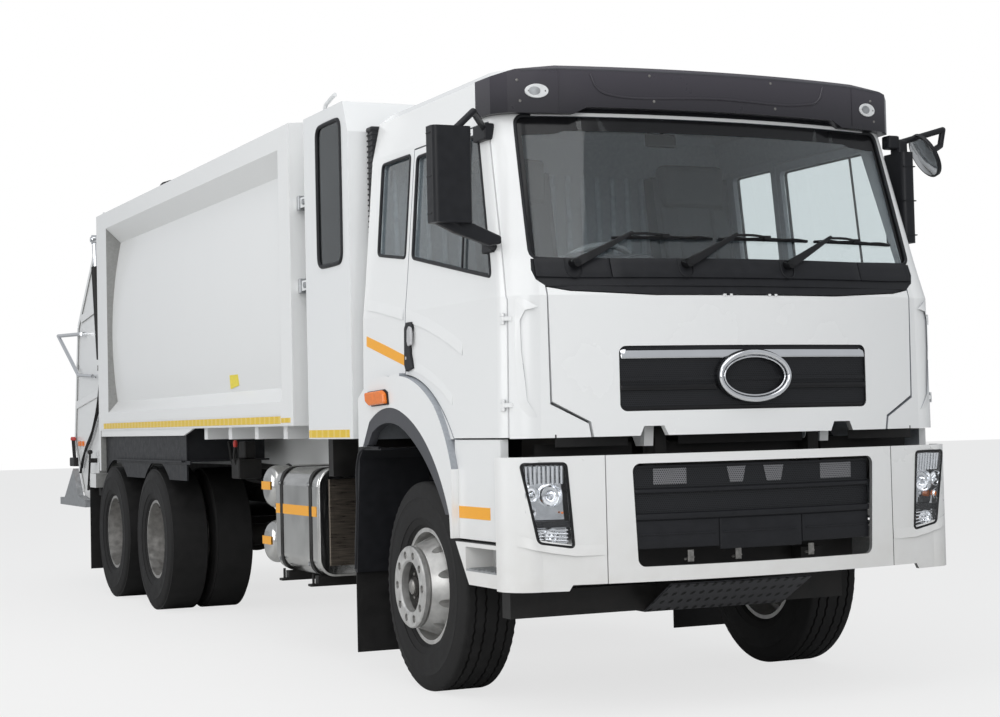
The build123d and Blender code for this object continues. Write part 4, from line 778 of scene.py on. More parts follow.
def hexNut(x, station, height, outward, length):
    piece = rod(6, hubSet["nutRadius"], x, x + outward * length, station, height)
    useModifier(piece, "BEVEL", width=0.0025, segments=2)
    collar = turned(hubSet["collar"], (x, station, height), "X", 20, outward)
    tip = knob([0, (0.0105, 0), (0.0105, 0.01), (0.008, 0.013), 0.013], (x + outward * length, station, height),
               "X", 12, outward)
    return joined([piece, collar, tip])


def frontDisc(wheelName, station, outward, centre):
    # the bulged disc with its hand holes, the ring round the studs and the hub's end inside it
    middle = (0, station, axleHeight)
    disc = turned(hubSet["disc"], middle, "X", 80, outward)
    cutters = []
    for circle, radius, near, far, turn in hubSet["drills"]:
        drill = rod(20, radius, outward * near, outward * far, station, axleHeight + circle)
        drill.data.transform(Matrix.Translation(centre) @ Matrix.Rotation(radians(turn), 4, "X")
                             @ Matrix.Translation(-centre))
        cutters += aroundX(drill, hubSet["studs"], centre)
    cutter = joined(cutters)
    useModifier(disc, "BOOLEAN", operation="DIFFERENCE", object=cutter, solver="EXACT")
    bpy.data.objects.remove(cutter)
    ready(disc, "hubDisc_" + wheelName, "discSilver", "wheel_" + wheelName)
    ready(knob(hubSet["hub"], middle, "X", 40, outward), "hubEnd_" + wheelName, "castIron", "wheel_" + wheelName)


for wheelName, (places, station) in wheels.items():
    outward = 1 if places[0] > 0 else -1
    isFront = wheelName.startswith("front")
    centre = spot(0, station, axleHeight)
    studStation = station + hubSet["studCircle"]
    if isFront:
        frontDisc(wheelName, station, outward, centre)
        stud = knob(hubSet["stud"], (0, studStation, axleHeight), "X", 14, outward)
    else:
        stud = hexNut(outward * hubSet["rearFace"], studStation, axleHeight, outward, hubSet["nutLength"])
    capFace, boltDepth, boltCircle = (hubSet[key][isFront] for key in ("capFace", "boltDepth", "boltCircle"))
    ringBolt = knob(hubSet["ringBolt"], (outward * (capFace - boltDepth), station, axleHeight + boltCircle), "X", 8,
                    outward)
    cap = turned(hubSet["cap"], (outward * capFace, station, axleHeight), "X", 28, outward)
    valve = pipe([(places[0] + outward * 0.045, station + 0.08, axleHeight + 0.25),
                  (places[0] + outward * 0.085, station + 0.075, axleHeight + 0.235)], 0.005)
    nuts = aroundX(stud, hubSet["studs"], centre) + aroundX(ringBolt, hubSet["ringBolts"], centre) + [cap, valve]
    ready(nuts, "hubNuts_" + wheelName, "rimNuts", "wheel_" + wheelName)
print("wheel nuts made")

visorSet = {"lamps": (-0.948, 0.948), "lampHeight": 2.942, "lampHalf": (0.056, 0.034),
            "screws": ((-1.039, 2.993), (-1.026, 2.894), (-0.382, 3.029), (-0.361, 2.906), (0.303, 3.029),
                       (0.328, 2.903), (0.977, 2.991), (1.0, 2.886)),
            "field": ((-0.685, 3.03), (-0.649, 2.959), (-0.587, 2.93), (0.0, 2.932), (0.52, 2.936), (0.603, 2.961),
                      (0.64, 3.034)),
            "seams": (-0.84, 0.84), "bead": ((-1.02, 3.038), (-0.85, 3.047), (0, 3.047), (0.85, 3.047), (1.02, 3.038)),
            "beadTop": ((-1.02, 3.043), (-0.85, 3.053), (0, 3.053), (0.85, 3.053), (1.02, 3.043))}
lampScrews, lampShells, lampBulbs = [], [], []
for x in visorSet["lamps"]:
    height = visorSet["lampHeight"]
    halfX, halfZ = visorSet["lampHalf"]
    lampShells.append(frontPlate(oval(x, height, halfX, halfZ), visorFront, 0.008, 0.012, 0.003))
    lampBulbs.append(frontPlate(oval(x - 0.012, height, halfX * 0.5, halfZ * 0.6), visorFront, 0.0095, 0.004, 0.001))
    lampScrews += domes([(x - 0.04, height), (x + 0.04, height)], visorFront, 0.004, 0.0082)
ready(lampShells, "visorLampShells", "whitePlastic", "cab")
ready(lampBulbs, "visorLampBulbs", "galvanised", "cab")
ready(lampScrews + domes(visorSet["screws"], visorFront, 0.0075), "visorScrews", "rimNuts", "cab")
visorTrim = [frontPipe(visorSet["field"], visorFront, 0, 0.0065)]
visorTrim += [ruled([(x - 0.002, 2.85), (x - 0.002, 3.05)], [(x + 0.002, 2.85), (x + 0.002, 3.05)],
                    onFront(visorFront, 0.0008), 0.002, 4, 1) for x in visorSet["seams"]]
ready(visorTrim, "visorField", "visorGrey", "cab")
ready(ruled(visorSet["bead"], visorSet["beadTop"], onFront(visorFront, 0.002), 0.004, 48, 1), "visorUpperBead",
      "trimGrey", "cab")

screenSet = {"outline": ((-1.07, 2.128), (1.07, 2.128), (1.035, 2.832), (-1.035, 2.832)), "corner": 0.05,
             "band": ((-1.036, 2.735), (-0.85, 2.744), (-0.8, 2.76), (0.8, 2.76), (0.85, 2.744), (1.036, 2.735)),
             "bandTop": 2.83, "bandDepth": 0.0132, "bandWall": 0.0008,
             "header": ((-1.02, 2.846), (-0.8, 2.85), (0.8, 2.85), (1.02, 2.846))}
ready(frontPipe(rounded(screenSet["outline"], screenSet["corner"]), cabFront, 0.004, 0.009, True), "screenSeal",
      "blackPlastic", "cab")
bandPlace = onFront(cabFront, -screenSet["bandDepth"])
band = [ruled(screenSet["band"], [(x * 0.998, screenSet["bandTop"]) for x, z in screenSet["band"]], bandPlace,
              screenSet["bandWall"], 60, 2)]
band += [ruled([(side * 1.038, 2.13), (side * 1.006, 2.8)], [(side * 1.068, 2.13), (side * 1.036, 2.8)], bandPlace,
               screenSet["bandWall"], 12, 2) for side in (-1, 1)]
ready(band, "screenBand", "glossBlack", "cab")
# a black band over the header above the windscreen: partly black trim, partly painted shade under the visor
ready(ruled(screenSet["header"], [(x, z + 0.05) for x, z in screenSet["header"]], onFront(cabFront, 0.002), 0.004, 48,
            2), "screenHeaderShadeBand", "blackPlastic", "cab")
ready([bar((-0.3, 0.5, 2.715), (-0.13, 0.53, 2.785), 0.012), pipe([(-0.21, 0.52, 2.78), (-0.2, 0.42, 2.85)], 0.008)],
      "innerMirror", "blackPlastic", "cab")

cowlSet = {"pivots": (-0.877, -0.322, 0.242), "notch": 0.036, "pivotHeight": 2.104, "grooveHeight": 1.998,
           "steps": ((-1.058, -0.702, 2.043, 2.037), (-0.698, 0.698, 2.037, 2.037), (0.702, 1.058, 2.037, 2.043))}
cowlPieces = []
for low, high, lowFoot, highFoot in cowlSet["steps"]:
    middle = (low + high) / 2
    foot, head = [(low, lowFoot), (middle, 2.037), (high, highFoot)], [(low, 2.13), (middle, 2.132), (high, 2.13)]
    cowlPieces.append(ruled(foot, head, onFront(cabFront, 0.006), 0.014, 24, 3, 0.003))
for x in cowlSet["pivots"]:
    notch = cowlSet["notch"]
    arc = [(x + notch * cos(radians(turn)), 2.075 + notch * sin(radians(turn))) for turn in range(180, 361, 30)]
    cowlPieces.append(frontPipe([(x - notch, 2.128), *arc, (x + notch, 2.128)], cabFront, -0.007, 0.004))
cowlPieces.append(frontPipe([(x, cowlSet["grooveHeight"]) for x in (-0.99, -0.5, 0, 0.5, 0.99)], cabFront, 0.002,
                            0.0035))
ready(cowlPieces, "cowlSteps", "blackPlastic", "cab")

wiperSet = {"reach": 0.303, "rise": 0.148, "bladeFrom": 0.212, "bladeStep": 0.1303, "bladeHeight": 2.2245,
            "pivot": (0.07, (0.022, 0.07), (0.024, 0.02), (0.019, 0.004), 0),
            "claws": ((0.215, 0.39), (0.3, 0.64), (0.55, 0.73))}
wiperParts, wiperRubber = [], []
for x in cowlSet["pivots"]:
    base = cowlSet["pivotHeight"]
    wiperParts.append(knob(wiperSet["pivot"], (x, cabFront(x, base) - 0.062, base), "Y", 20))
    elbowX, elbowZ = x + wiperSet["reach"], base + wiperSet["rise"]
    arm = [(x - 0.014, base - 0.01), (x + 0.01, base - 0.02), (x + 0.1, base + 0.028), (elbowX, elbowZ - 0.008),
           (elbowX + 0.008, elbowZ), (elbowX - 0.004, elbowZ + 0.008), (x + 0.09, base + 0.062),
           (x - 0.016, base + 0.016)]
    wiperParts.append(frontPlate(arm, screenFace, 0.05, 0.011, 0.003))
    wiperParts.append(pipe([(elbowX - 0.02, screenFace(elbowX, 2.25) - 0.046, elbowZ - 0.006),
                            (x + 0.4, screenFace(x + 0.4, 2.24) - 0.038, 2.247),
                            (x + 0.472, screenFace(x + 0.472, 2.24) - 0.03, 2.24)], 0.0065))
    tipFace = screenFace(x + 0.47, 2.235)
    wiperParts.append(bar((x + 0.455, tipFace - 0.042, 2.228), (x + 0.492, tipFace - 0.018, 2.248), 0.003))
    for start, end in wiperSet["claws"]:
        claw = ((start, 0.013, 2.231), ((start + end) / 2, 0.026, 2.235), (end, 0.013, 2.231))
        wiperParts.append(pipe([(x + reach, screenFace(x + reach, 2.23) - lift, z) for reach, lift, z in claw], 0.0045))
    line = [(x + wiperSet["bladeFrom"] + step * wiperSet["bladeStep"], wiperSet["bladeHeight"]) for step in range(5)]
    wiperRubber.append(ruled(line, [(px, pz + 0.012) for px, pz in line], onFront(screenFace, 0.013), 0.012, 12, 1,
                             0.002))
ready(wiperParts, "wiperArms", "glossBlack", "cab", ["wipers"])
ready(wiperRubber, "wiperBlades", "blackPlastic", "cab")

# half width, half height, points, station and thickness of each ring; low, high, start, end and lift of each bar
panelSet = {"opening": ((-0.69, 1.41), (0.69, 1.41), (0.69, 1.715), (-0.69, 1.715)), "ringHeight": 1.566,
            "rings": (("panelRing", 0.19, 0.112, 36, 0.038, 0.0125),
                      ("panelInnerRing", 0.168, 0.092, 32, 0.041, 0.0045)),
            "bars": ((1.506, 1.53, -0.685, -0.195, 0.012), (1.506, 1.53, 0.195, 0.685, 0.012),
                     (1.415, 1.43, -0.685, 0.685, 0.004)),
            "chrome": (0.682, 1.655, 1.716)}
half, low, high = panelSet["chrome"]
ready(ruled([(-half, low), (0, low), (half, low)], [(-half, high), (0, high), (half, high)],
            lambda x, height: spot(x, 0.056 + x * x / bowLength + 7 * (height - low) ** 2, height),
            0.014, 48, 6, 0.003), "panelChromeBar", "chrome", "front_lid")
for name, halfX, halfZ, count, station, thickness in panelSet["rings"]:
    ring = [(x, station, z) for x, z in oval(0, panelSet["ringHeight"], halfX, halfZ, count)]
    ready(pipe(ring, thickness, True), name, "chrome", "front_lid")
grilleBars = [frontStrip(low, high, start, end, meshFace, lift, 0.012, 30, 2, 0.003)
              for low, high, start, end, lift in panelSet["bars"]]
grilleBars.append(frontPipe(rounded(panelSet["opening"], 0.035), cabFront, 0.006, 0.005, True))
ready(grilleBars, "panelGrilleBars", "glossBlack", "front_lid")

# x, height, radius and depth of each bowl
lampSet = {"edge": ((0.952, 0.793), (1.112, 0.818), (1.183, 1.178), (0.98, 1.177)), "corner": 0.02, "flutes": 9,
           "big": (1.039, 1.03, 0.05, 0.04), "small": (1.131, 1.04, 0.034, 0.034),
           "fog": (1.045, 0.845, 0.034, 0.03), "amber": (1.138, 0.962, 0.026, 0.026)}


def lampSpan(height):
    # inner and outer x of the lamp at a height
    return 0.95 + 0.028 * (height - 0.79) / 0.39, min(1.114 + 0.072 * (height - 0.816) / 0.366, 1.186)


def lampPatch(side, low, high, inset, lift, thickness, columns=16, rows=10):
    def place(u, height):
        inner, outer = lampSpan(height)
        x = inner + inset + (outer - inner - 2 * inset) * u
        return spot(side * x, bumperFront(x, height) - lift, height)
    ends = (1, 0) if side < 0 else (0, 1)
    return ruled([(u, low) for u in ends], [(u, high) for u in ends], place, thickness, columns, rows)


def reflectorBowl(x, height, radius, depth, side):
    profile = [(0.001, 0), (radius * 0.5, -0.02), (radius * 0.82, -depth * 0.55), (radius, -depth),
               (radius + 0.004, -depth), (radius + 0.004, -depth + 0.004), (radius * 0.86, -depth * 0.5),
               (radius * 0.5, -0.014), (0.001, 0.006)]
    return turned(profile, (side * x, bumperFront(x, height) + 0.012 + depth, height), "Y", 28)


def lampBulb(profile, x, height, setback, steps):
    return knob(profile, (x, bumperFront(x, height) + setback, height), "Y", steps)


lensParts, chromeParts, darkParts, amberParts, projectorParts = [], [], [], [], []
for side in (-1, 1):
    lensParts.append(lampPatch(side, 0.795, 1.178, 0.002, 0.001, 0.004))
    darkParts.append(lampPatch(side, 0.793, 1.18, 0.0, -0.075, 0.003))
    chromeParts.append(lampPatch(side, 0.92, 1.17, 0.006, -0.062, 0.003))
    for index in range(lampSet["flutes"]):  # fluting along the top and beside the beams
        x = lampSpan(1.13)[0] + 0.014 + index * 0.0205
        chromeParts.append(pipe([(side * x, bumperFront(x, 1.13) + 0.03, 1.085),
                                 (side * (x + 0.004), bumperFront(x, 1.15) + 0.02, 1.168)], 0.0085, False, 4))
    bigX, bigZ, bigR = lampSet["big"][:3]
    smallX, smallZ, smallR = lampSet["small"][:3]
    chromeParts += [reflectorBowl(*lampSet["big"], side), reflectorBowl(*lampSet["small"], side)]
    projectorParts += [lampBulb([0, (bigR * 0.5, 0.006), (bigR * 0.72, 0.02), (bigR * 0.72, 0.03), 0.03], side * bigX,
                                bigZ, 0.022, 24),
                       lampBulb([0, (smallR * 0.4, 0.005), (smallR * 0.6, 0.015), 0.02], side * smallX, smallZ, 0.024,
                                20)]
    chromeParts += [lampPatch(side, 0.8, 0.884, 0.006, -0.05, 0.003), reflectorBowl(*lampSet["fog"], side)]
    for row in range(5):
        chromeParts.append(pipe([(side * 0.97, bumperFront(0.97, 0.9) + 0.02, 0.805 + row * 0.017),
                                 (side * 1.1, bumperFront(1.1, 0.9) + 0.02, 0.82 + row * 0.014)], 0.004, False, 3))
    darkParts.append(lampPatch(side, 0.886, 0.916, 0.003, -0.008, 0.03, 12, 2))
    edge = [(side * x, z) for x, z in rounded(lampSet["edge"], lampSet["corner"])]
    darkParts.append(frontPipe(edge, bumperFront, 0.001, 0.0075, True, 4))
    amberX, amberZ = lampSet["amber"][:2]
    amberParts += [lampBulb([0, (0.016, 0.006), (0.019, 0.02), (0.012, 0.03), 0.03], side * amberX, amberZ, 0.022, 16),
                   lampBulb([0, (0.005, 0.003), (0.005, 0.012), 0.016], side * 0.99, 0.952, 0.022, 14)]
    chromeParts.append(reflectorBowl(*lampSet["amber"], side))
ready(lensParts, "lampLenses", "lampGlass", "chassis", ["headlamps"])
ready(chromeParts, "lampReflectors", "reflector", "chassis")
ready(darkParts, "lampHousings", "glossBlack", "chassis")
ready(amberParts, "lampAmberBulbs", "amberPaint", "chassis")
ready(projectorParts, "lampProjectors", "lampGlass", "chassis")
print("front lamps, visor, wipers and panel grille made")

# low, high and lift of each level strip; low, high, start and end of each solid panel; the crease's x, height and lift
lowerSet = {"meshes": ((1.05, 1.148, 0.002), (0.936, 1.026, -0.002)),
            "bars": ((1.028, 1.046, 0.016), (0.905, 0.932, 0.016), (1.146, 1.156, 0.012)),
            "panels": ((0.772, 0.9, -0.65, -0.23), (0.755, 0.9, -0.224, 0.23), (0.772, 0.9, 0.236, 0.65)),
            "patches": ((-0.556, -0.389), (-0.178, -0.076), (0.023, 0.137), (0.354, 0.546)),
            "brackets": (-0.36, -0.1, 0.31),
            "crease": ((0.8, 0.753, 0.0005), (0.95, 0.754, 0.007), (1.05, 0.77, 0.009), (1.13, 0.786, 0.006),
                       (1.2, 0.806, 0.0005))}
meshRows = [frontStrip(low, high, -0.65, 0.65, grilleFront, lift, 0.004, 40, 3)
            for low, high, lift in lowerSet["meshes"]]
solidRows = [frontStrip(low, high, -0.652, 0.652, grilleFront, lift, 0.018, 40, 2, 0.004)
             for low, high, lift in lowerSet["bars"]]
for low, high, start, end in lowerSet["panels"]:
    solidRows.append(frontStrip(low, high, start, end, grilleFront, 0.006, 0.01, 24, 3, 0.003))
    solidRows.append(frontStrip(0.832, 0.84, start + 0.02, end - 0.02, grilleFront, 0.01, 0.008, 20, 2, 0.002))
paleParts = []
for start, end in lowerSet["patches"]:
    inset = 0.017 if end - start < 0.13 else 0.0
    paleParts.append(ruled([(start + inset, 1.066), (end - inset, 1.066)], [(start, 1.142), (end, 1.142)],
                           onFront(grilleFront, 0.0045), 0.004, 8, 2, 0.001))
ready(meshRows, "lowerGrilleMesh", "grilleMesh", "chassis")
ready(solidRows, "lowerGrilleBars", "blackPlastic", "chassis")
ready(paleParts, "lowerGrillePatches", "palePatch", "chassis")
slotParts = []
for x in lowerSet["brackets"]:
    slotParts += [bar((x - 0.016, 0.07, 0.7), (x + 0.016, 0.078, 0.757), 0.002),
                  pipe([(x - 0.024, 0.09, 0.712), (x + 0.03, 0.095, 0.72)], 0.006)]
ready(slotParts, "lowerGrilleBrackets", "rimNuts", "chassis")
creaseParts = []
for side in (-1, 1):
    lower = [(side * x, z, lift) for x, z, lift in lowerSet["crease"]]
    upper = [(x, z + 0.05, -0.001) for x, z, lift in lower]
    if side > 0:
        lower, upper = upper, lower
    creaseParts.append(ruled(lower, upper, lambda x, z, lift: spot(x, bumperFront(x, z) - lift, z), 0.002, 40, 5))
    creaseParts += domes([(side * 0.9, 1.195), (side * 1.1, 1.196)], bumperFront, 0.006)
ready(creaseParts, "bumperCreases", "bumperWhite", "chassis")
print("bumper trim made")

cabSideSet = {"stripe": (((2.065, 1.805), (1.78, 1.74), (1.5, 1.677)), ((2.065, 1.86), (1.78, 1.797), (1.5, 1.731))),
              "handle": ((1.365, 1.66), (1.455, 1.645), (1.478, 1.68), (1.478, 1.87), (1.455, 1.9), (1.385, 1.9),
                         (1.37, 1.87), (1.405, 1.78), (1.4, 1.735)),
              "pull": ((1.362, 1.78), (1.405, 1.775), (1.418, 1.8), (1.415, 1.858), (1.395, 1.878), (1.37, 1.87),
                       (1.358, 1.84)),
              "amber": ((1.655, 1.485), (1.89, 1.478), (1.94, 1.5), (1.95, 1.548), (1.71, 1.556), (1.668, 1.54)),
              "flareWall": 1.245,
              "sticker": (0.832, 0.463, 0.914, 0.972, 0.001, 0.0012, 8, 1.208),
              "doorCrease": ((1.462, 1.907), (1.359, 1.884), (1.2, 1.85), (1.028, 1.801), (0.88, 1.753),
                             (0.749, 1.702)),
              "lowCrease": ((1.398, 1.652), (1.26, 1.62), (1.13, 1.58), (1.0, 1.53), (0.877, 1.463)),
              "quarterCrease": ((2.05, 2.0), (1.9, 1.981), (1.787, 1.962), (1.65, 1.94), (1.52, 1.917)),
              "wing": ((1.08, 1.392, 0.002), (1.128, 1.47, 0.01), (1.135, 1.55, 0.014), (1.149, 1.7, 0.015),
                       (1.151, 1.84, 0.015), (1.13, 1.886, 0.016), (1.07, 1.9, 0.015)),
              "doorSeal": ((0.425, 2.056), (1.44, 2.234), (1.45, 2.762), (0.668, 2.762)),
              "quarterSeal": ((1.54, 2.244), (1.945, 2.294), (1.955, 2.788), (1.545, 2.788))}
doorBodies = {-1: ("right", "right_door"), 1: ("left", "left_door")}


def fadingLedge(side, line, rise, lift):
    # a step in the sheet that fades out upwards
    lower = [(station, height, lift) for station, height in line]
    upper = [(station, height + rise, -0.0006) for station, height in line]
    if side > 0:
        lower, upper = lower[::-1], upper[::-1]
    return ruled(lower, upper, lambda station, height, out: spot(side * (cabRow(height)[0] + out), station, height),
                 0.002, 40, 5)


for side in (-1, 1):
    word, doorBody = doorBodies[side]
    wall = cabSideSet["flareWall"]
    ready(sideStrip(side, *cabSideSet["stripe"], 0.001, 0.0012, 20), "cabStripe_" + word, "orangeStripe", "cab")
    ready(flatStrip(side, *cabSideSet["sticker"]), "sillStripe_" + word, "orangeStripe", "cab")
    ready(sidePlate(cabSideSet["handle"], side, 0.016, 0.02, 0.005), "handleSurround_" + word, "blackPlastic", doorBody)
    lock = knob([0, (0.009, 0), (0.009, 0.003), 0.004], (side * (cabRow(1.72)[0] + 0.014), 1.45, 1.715), "X", 16,
                side)
    ready([sidePlate(cabSideSet["pull"], side, 0.026, 0.014, 0.005), lock], "handlePull_" + word, "trimLight",
          doorBody)
    ready([fadingLedge(side, cabSideSet["doorCrease"], 0.07, 0.0045),
           fadingLedge(side, cabSideSet["lowCrease"], 0.06, 0.0035)], "doorCreases_" + word, "cabPaint", doorBody)
    ready(fadingLedge(side, cabSideSet["quarterCrease"], 0.07, 0.004), "quarterCrease_" + word, "cabPaint", "cab")
    lampBack = [(s + (0.008 if s > 1.8 else -0.008), z + (0.006 if z > 1.51 else -0.006))
                for s, z in cabSideSet["amber"]]
    ready(sidePlate(lampBack, side, 0.006, 0.008, 0.003, wall), "flareLampBase_" + word, "blackPlastic", "cab")
    ready(sidePlate(cabSideSet["amber"], side, 0.03, 0.026, 0.009, wall), "flareLamp_" + word, "amberPaint", "cab")
    inner = [(side * x, z, lift) for x, z, lift in cabSideSet["wing"]]
    outer = [(side * (cabRow(z)[0] - 0.04), z + (0.06 if z > 1.88 else 0), -0.004) for x, z, lift in inner]
    if side > 0:
        inner, outer = outer, inner
    ready(ruled(inner, outer, lambda x, height, lift: spot(x, cabFront(x, height) - lift, height), 0.003, 48, 12),
          "cornerWing_" + word, "cabPaint", "cab")
    for sealName, body in (("doorSeal", doorBody), ("quarterSeal", "cab")):
        ring = [(side * (cabRow(z)[0] - 0.002), s, z) for s, z in rounded(cabSideSet[sealName], 0.03)]
        ready(pipe(ring, 0.009, True), sealName + "_" + word, "blackPlastic", body)
    ready(ruled([(0.78, 2.118), (0.792, 2.121)], [(0.805, 2.76), (0.817, 2.76)], onSide(side, -0.008), 0.008, 1, 8),
          "doorDivider_" + word, "blackPlastic", doorBody)
print("cab sides made")

mirrorSet = {"roundCentre": (1.398, 0.5, 2.742), "roundGlass": (1.3825, 0.5032, 2.7334),
             "roundAxis": (0.86, -0.18, 0.48),
             "wedge": ((-1.54, 2.3), (-1.35, 2.3), (-1.19, 2.235), (-1.19, 2.2), (-1.25, 2.19), (-1.42, 2.245)),
             "ribs": (2.33, 2.5, 2.7), "farRibs": (2.3, 2.48, 2.66)}
ready([bar((-1.53, 0.362, low), (-1.36, 0.366, high), 0.0015) for low, high in ((2.32, 2.56), (2.58, 2.71))],
      "mirrorGlass_right", "chrome", "right_door")
ready(bar((1.2, 0.6, 2.29), (1.25, 0.603, 2.71), 0.0015), "mirrorGlass_left", "chrome", "left_door")
mirrorParts = [bar((-1.548, 0.285, z), (-1.342, 0.34, z + 0.006), 0.002) for z in mirrorSet["ribs"]]
mirrorParts += [slab(mirrorSet["wedge"], "Y", 0.3, 0.345, 0.01), bar((-1.2, 0.4, 2.17), (-1.168, 0.52, 2.25), 0.008),
                bar((-1.17, 0.52, 2.72), (-1.115, 0.66, 2.8), 0.008)]
ready(mirrorParts, "mirrorBracket_right", "blackPlastic", "right_door")
ready(knob([-0.004, (0.114, -0.004), (0.114, 0.002), (0.08, 0.007), (0.04, 0.011), 0.012], mirrorSet["roundGlass"],
           mirrorSet["roundAxis"], 36, -1), "mirrorRound_left", "chrome", "left_door")
farParts = [bar((1.19, 0.46, 2.69), (1.25, 0.54, 2.81), 0.012), bar((1.13, 0.462, 2.76), (1.2, 0.53, 2.83), 0.01),
            knob([0.045, (0.02, 0.045), (0.026, 0.024), (0.03, 0.02), 0.018], mirrorSet["roundCentre"],
                 mirrorSet["roundAxis"], 20)]
farParts += [bar((1.186, 0.417, z), (1.262, 0.58, z + 0.006), 0.002) for z in mirrorSet["farRibs"]]
ready(farParts, "mirrorBracket_left", "blackPlastic", "left_door")

tankSet = {"straps": (3.09, 3.64), "halfWidth": 0.025, "side": -1.2035, "corner": 0.113,
           "outline": ((-1.203, 0.482), (-0.557, 0.482), (-0.557, 1.129), (-1.203, 1.129)),
           "tapes": ((2.985, 3.06), (3.12, 3.61), (3.67, 3.75)), "airHeights": (0.997, 0.651), "airBand": 0.139,
           "cap": (0.06, (0.056, 0.06), (0.062, 0.05), (0.062, 0.012), (0.05, 0), 0)}
strapParts, strapBolts = [], []
ring = rounded(tankSet["outline"], tankSet["corner"], 8)
ring.append(ring[0])
for station in tankSet["straps"]:
    lower, upper = ([(x, z, station + off) for x, z in ring] for off in (-tankSet["halfWidth"], tankSet["halfWidth"]))
    strapParts += [ruled(lower, upper, lambda x, z, s: spot(x, s, z), -0.006, 72, 2),
                   bar((-1.215, station - 0.03, 0.425), (-0.52, station + 0.03, 0.44), 0.003),
                   pipe([(-1.19, station, 0.43), (-1.19, station, 0.5)], 0.008)]
    strapBolts += [knob([0, (0.012, 0), (0.012, 0.01), 0.012], (-1.209, station, z), "X", 6, -1) for z in (0.56, 1.03)]
ready(strapParts, "tankStraps", "frameBlack", "chassis")
ready(strapBolts, "tankStrapBolts", "galvanised", "chassis")
ready([knob(tankSet["cap"], (-0.9, 3.27, 1.16), "Z", 28), pipe([(-0.95, 3.27, 1.222), (-0.85, 3.27, 1.222)], 0.009)],
      "tankCap", "blackPlastic", "chassis")
ready(bar((-1.13, 2.952, 0.55), (-0.63, 2.962, 1.06), 0.004), "tankFrontFace", "brushedDark", "chassis")
tapeParts = [bar((tankSet["side"], start, 0.84), (-1.2, end, 0.9), 0.0006) for start, end in tankSet["tapes"]]
tapeParts += [ruled([(3.86, z), (4.04, z)], [(3.86, z + 0.052), (4.04, z + 0.052)], lambda s, z: spot(-1.2025, s, z),
                    0.0015, 4, 1) for z in (0.98, 0.634)]
ready(tapeParts, "tankStripes", "orangeStripe", "chassis")
airParts = []
for z in tankSet["airHeights"]:
    circle = oval(3.95, z, tankSet["airBand"], tankSet["airBand"], 18)
    airParts += [pipe([(x, station, height) for station, height in circle], 0.006, True, 4) for x in (-1.05, -0.72)]
    airParts.append(pipe([(-0.9, 4.08, z), (-0.9, 4.12, z - 0.02), (-0.7, 4.16, 0.9), (-0.47, 4.2, 0.95)], 0.009))
ready(airParts, "airTankBands", "frameBlack", "chassis")
boxParts = [bar((0.65, 2.985, 0.93), (1.19, 3.745, 0.975), 0.012), bar((1.178, 3.1, 0.6), (1.19, 3.15, 0.95), 0.004),
            bar((1.178, 3.6, 0.6), (1.19, 3.65, 0.95), 0.004)]
boxParts += [bar((1.178, 3.02, z), (1.184, 3.71, z + 0.012), 0.003) for z in (0.56, 0.66, 0.76, 0.86)]
ready(boxParts, "batteryLid", "trimGrey", "chassis")
print("mirrors and tanks made")

# rear and front station, low and high edge, lift, thickness and columns of each strip on the body
bodySet = {"tapes": ((8.324, 3.494, 1.395, 1.441, 0.0015, 0.0015, 30), (3.48, 3.3, 1.4, 1.43, 0.0015, 0.0015, 30),
                     (2.95, 2.26, 1.308, 1.352, 0.0015, 0.0015, 8)),
           "railLines": ((8.42, 3.25, 1.386, 1.392, 0.004, 0.005, 20), (8.13, 3.48, 1.447, 1.452, 0.003, 0.004, 20)),
           "crewWindow": ((2.32, 2.29), (2.72, 2.29), (2.72, 3.1), (2.32, 3.1)),
           "crewDoorWindow": ((2.36, 2.3), (2.82, 2.3), (2.82, 3.0), (2.36, 3.0)),
           "pole": ((-1.1, 2.98, 3.19), (-1.1, 2.976, 3.27), (-1.1, 2.9, 3.3), (-1.1, 2.796, 3.32)),
           "hoses": ((0.018, ((-0.75, 8.28, 3.39), (-0.75, 8.2, 3.45), (-0.75, 8.0, 3.46), (-0.75, 7.75, 3.43),
                              (-0.75, 7.6, 3.36), (-0.75, 7.585, 3.25))),
                     (0.014, ((-0.7, 8.24, 3.38), (-0.7, 8.15, 3.42), (-0.7, 7.95, 3.4), (-0.7, 7.7, 3.3),
                              (-0.7, 7.66, 3.24)))),
           "hingeCap": (0, (0.042, 0), (0.042, 0.012), (0.03, 0.02), 0.022)}
for side in (-1, 1):
    word = doorBodies[side][0]
    ready([flatStrip(side, *strip) for strip in bodySet["tapes"]], "bodyTape_" + word, "yellowTape", "chassis")
    ready([flatStrip(side, *strip) for strip in bodySet["railLines"]], "bodyRailLines_" + word, "bodyPaint", "chassis")
label = ruled([(4.8, 1.64), (4.6, 1.66)], [(4.8, 1.78), (4.6, 1.8)], lambda s, z: spot(-1.2, s, z), 0.002, 6, 2)
ready(laid(label, lambda co: Vector((0.0285 - 0.0448 * (co.z - 1.62) / 0.68, 0, 0))), "bodyLabel", "yellowLabel",
      "chassis")
ready(pipe([(-1.245, s, z) for s, z in rounded(bodySet["crewWindow"], 0.07)], 0.012, True), "crewWindowSeal",
      "blackPlastic", "chassis")
ready(pipe([(1.243, s, z) for s, z in rounded(bodySet["crewDoorWindow"], 0.02)], 0.01, True), "crewDoorSeal",
      "blackPlastic", "crew_side_door")
stays = []
for z in (2.22, 2.72):
    for station in (3.0, 3.17):
        stays += bothBars((1.215, station, z - 0.045), (1.11, station + 0.03, z + 0.045), 0.006)
    stays += [knob([0, (0.018, 0), (0.018, 0.012), 0.015], (side * 1.2, 3.1, z), "X", 6, side) for side in (-1, 1)]
ready(stays, "crewStays", "galvanised", "chassis")
ready(pipe(bodySet["pole"], 0.012), "roofPole", "whitePlastic", "chassis")
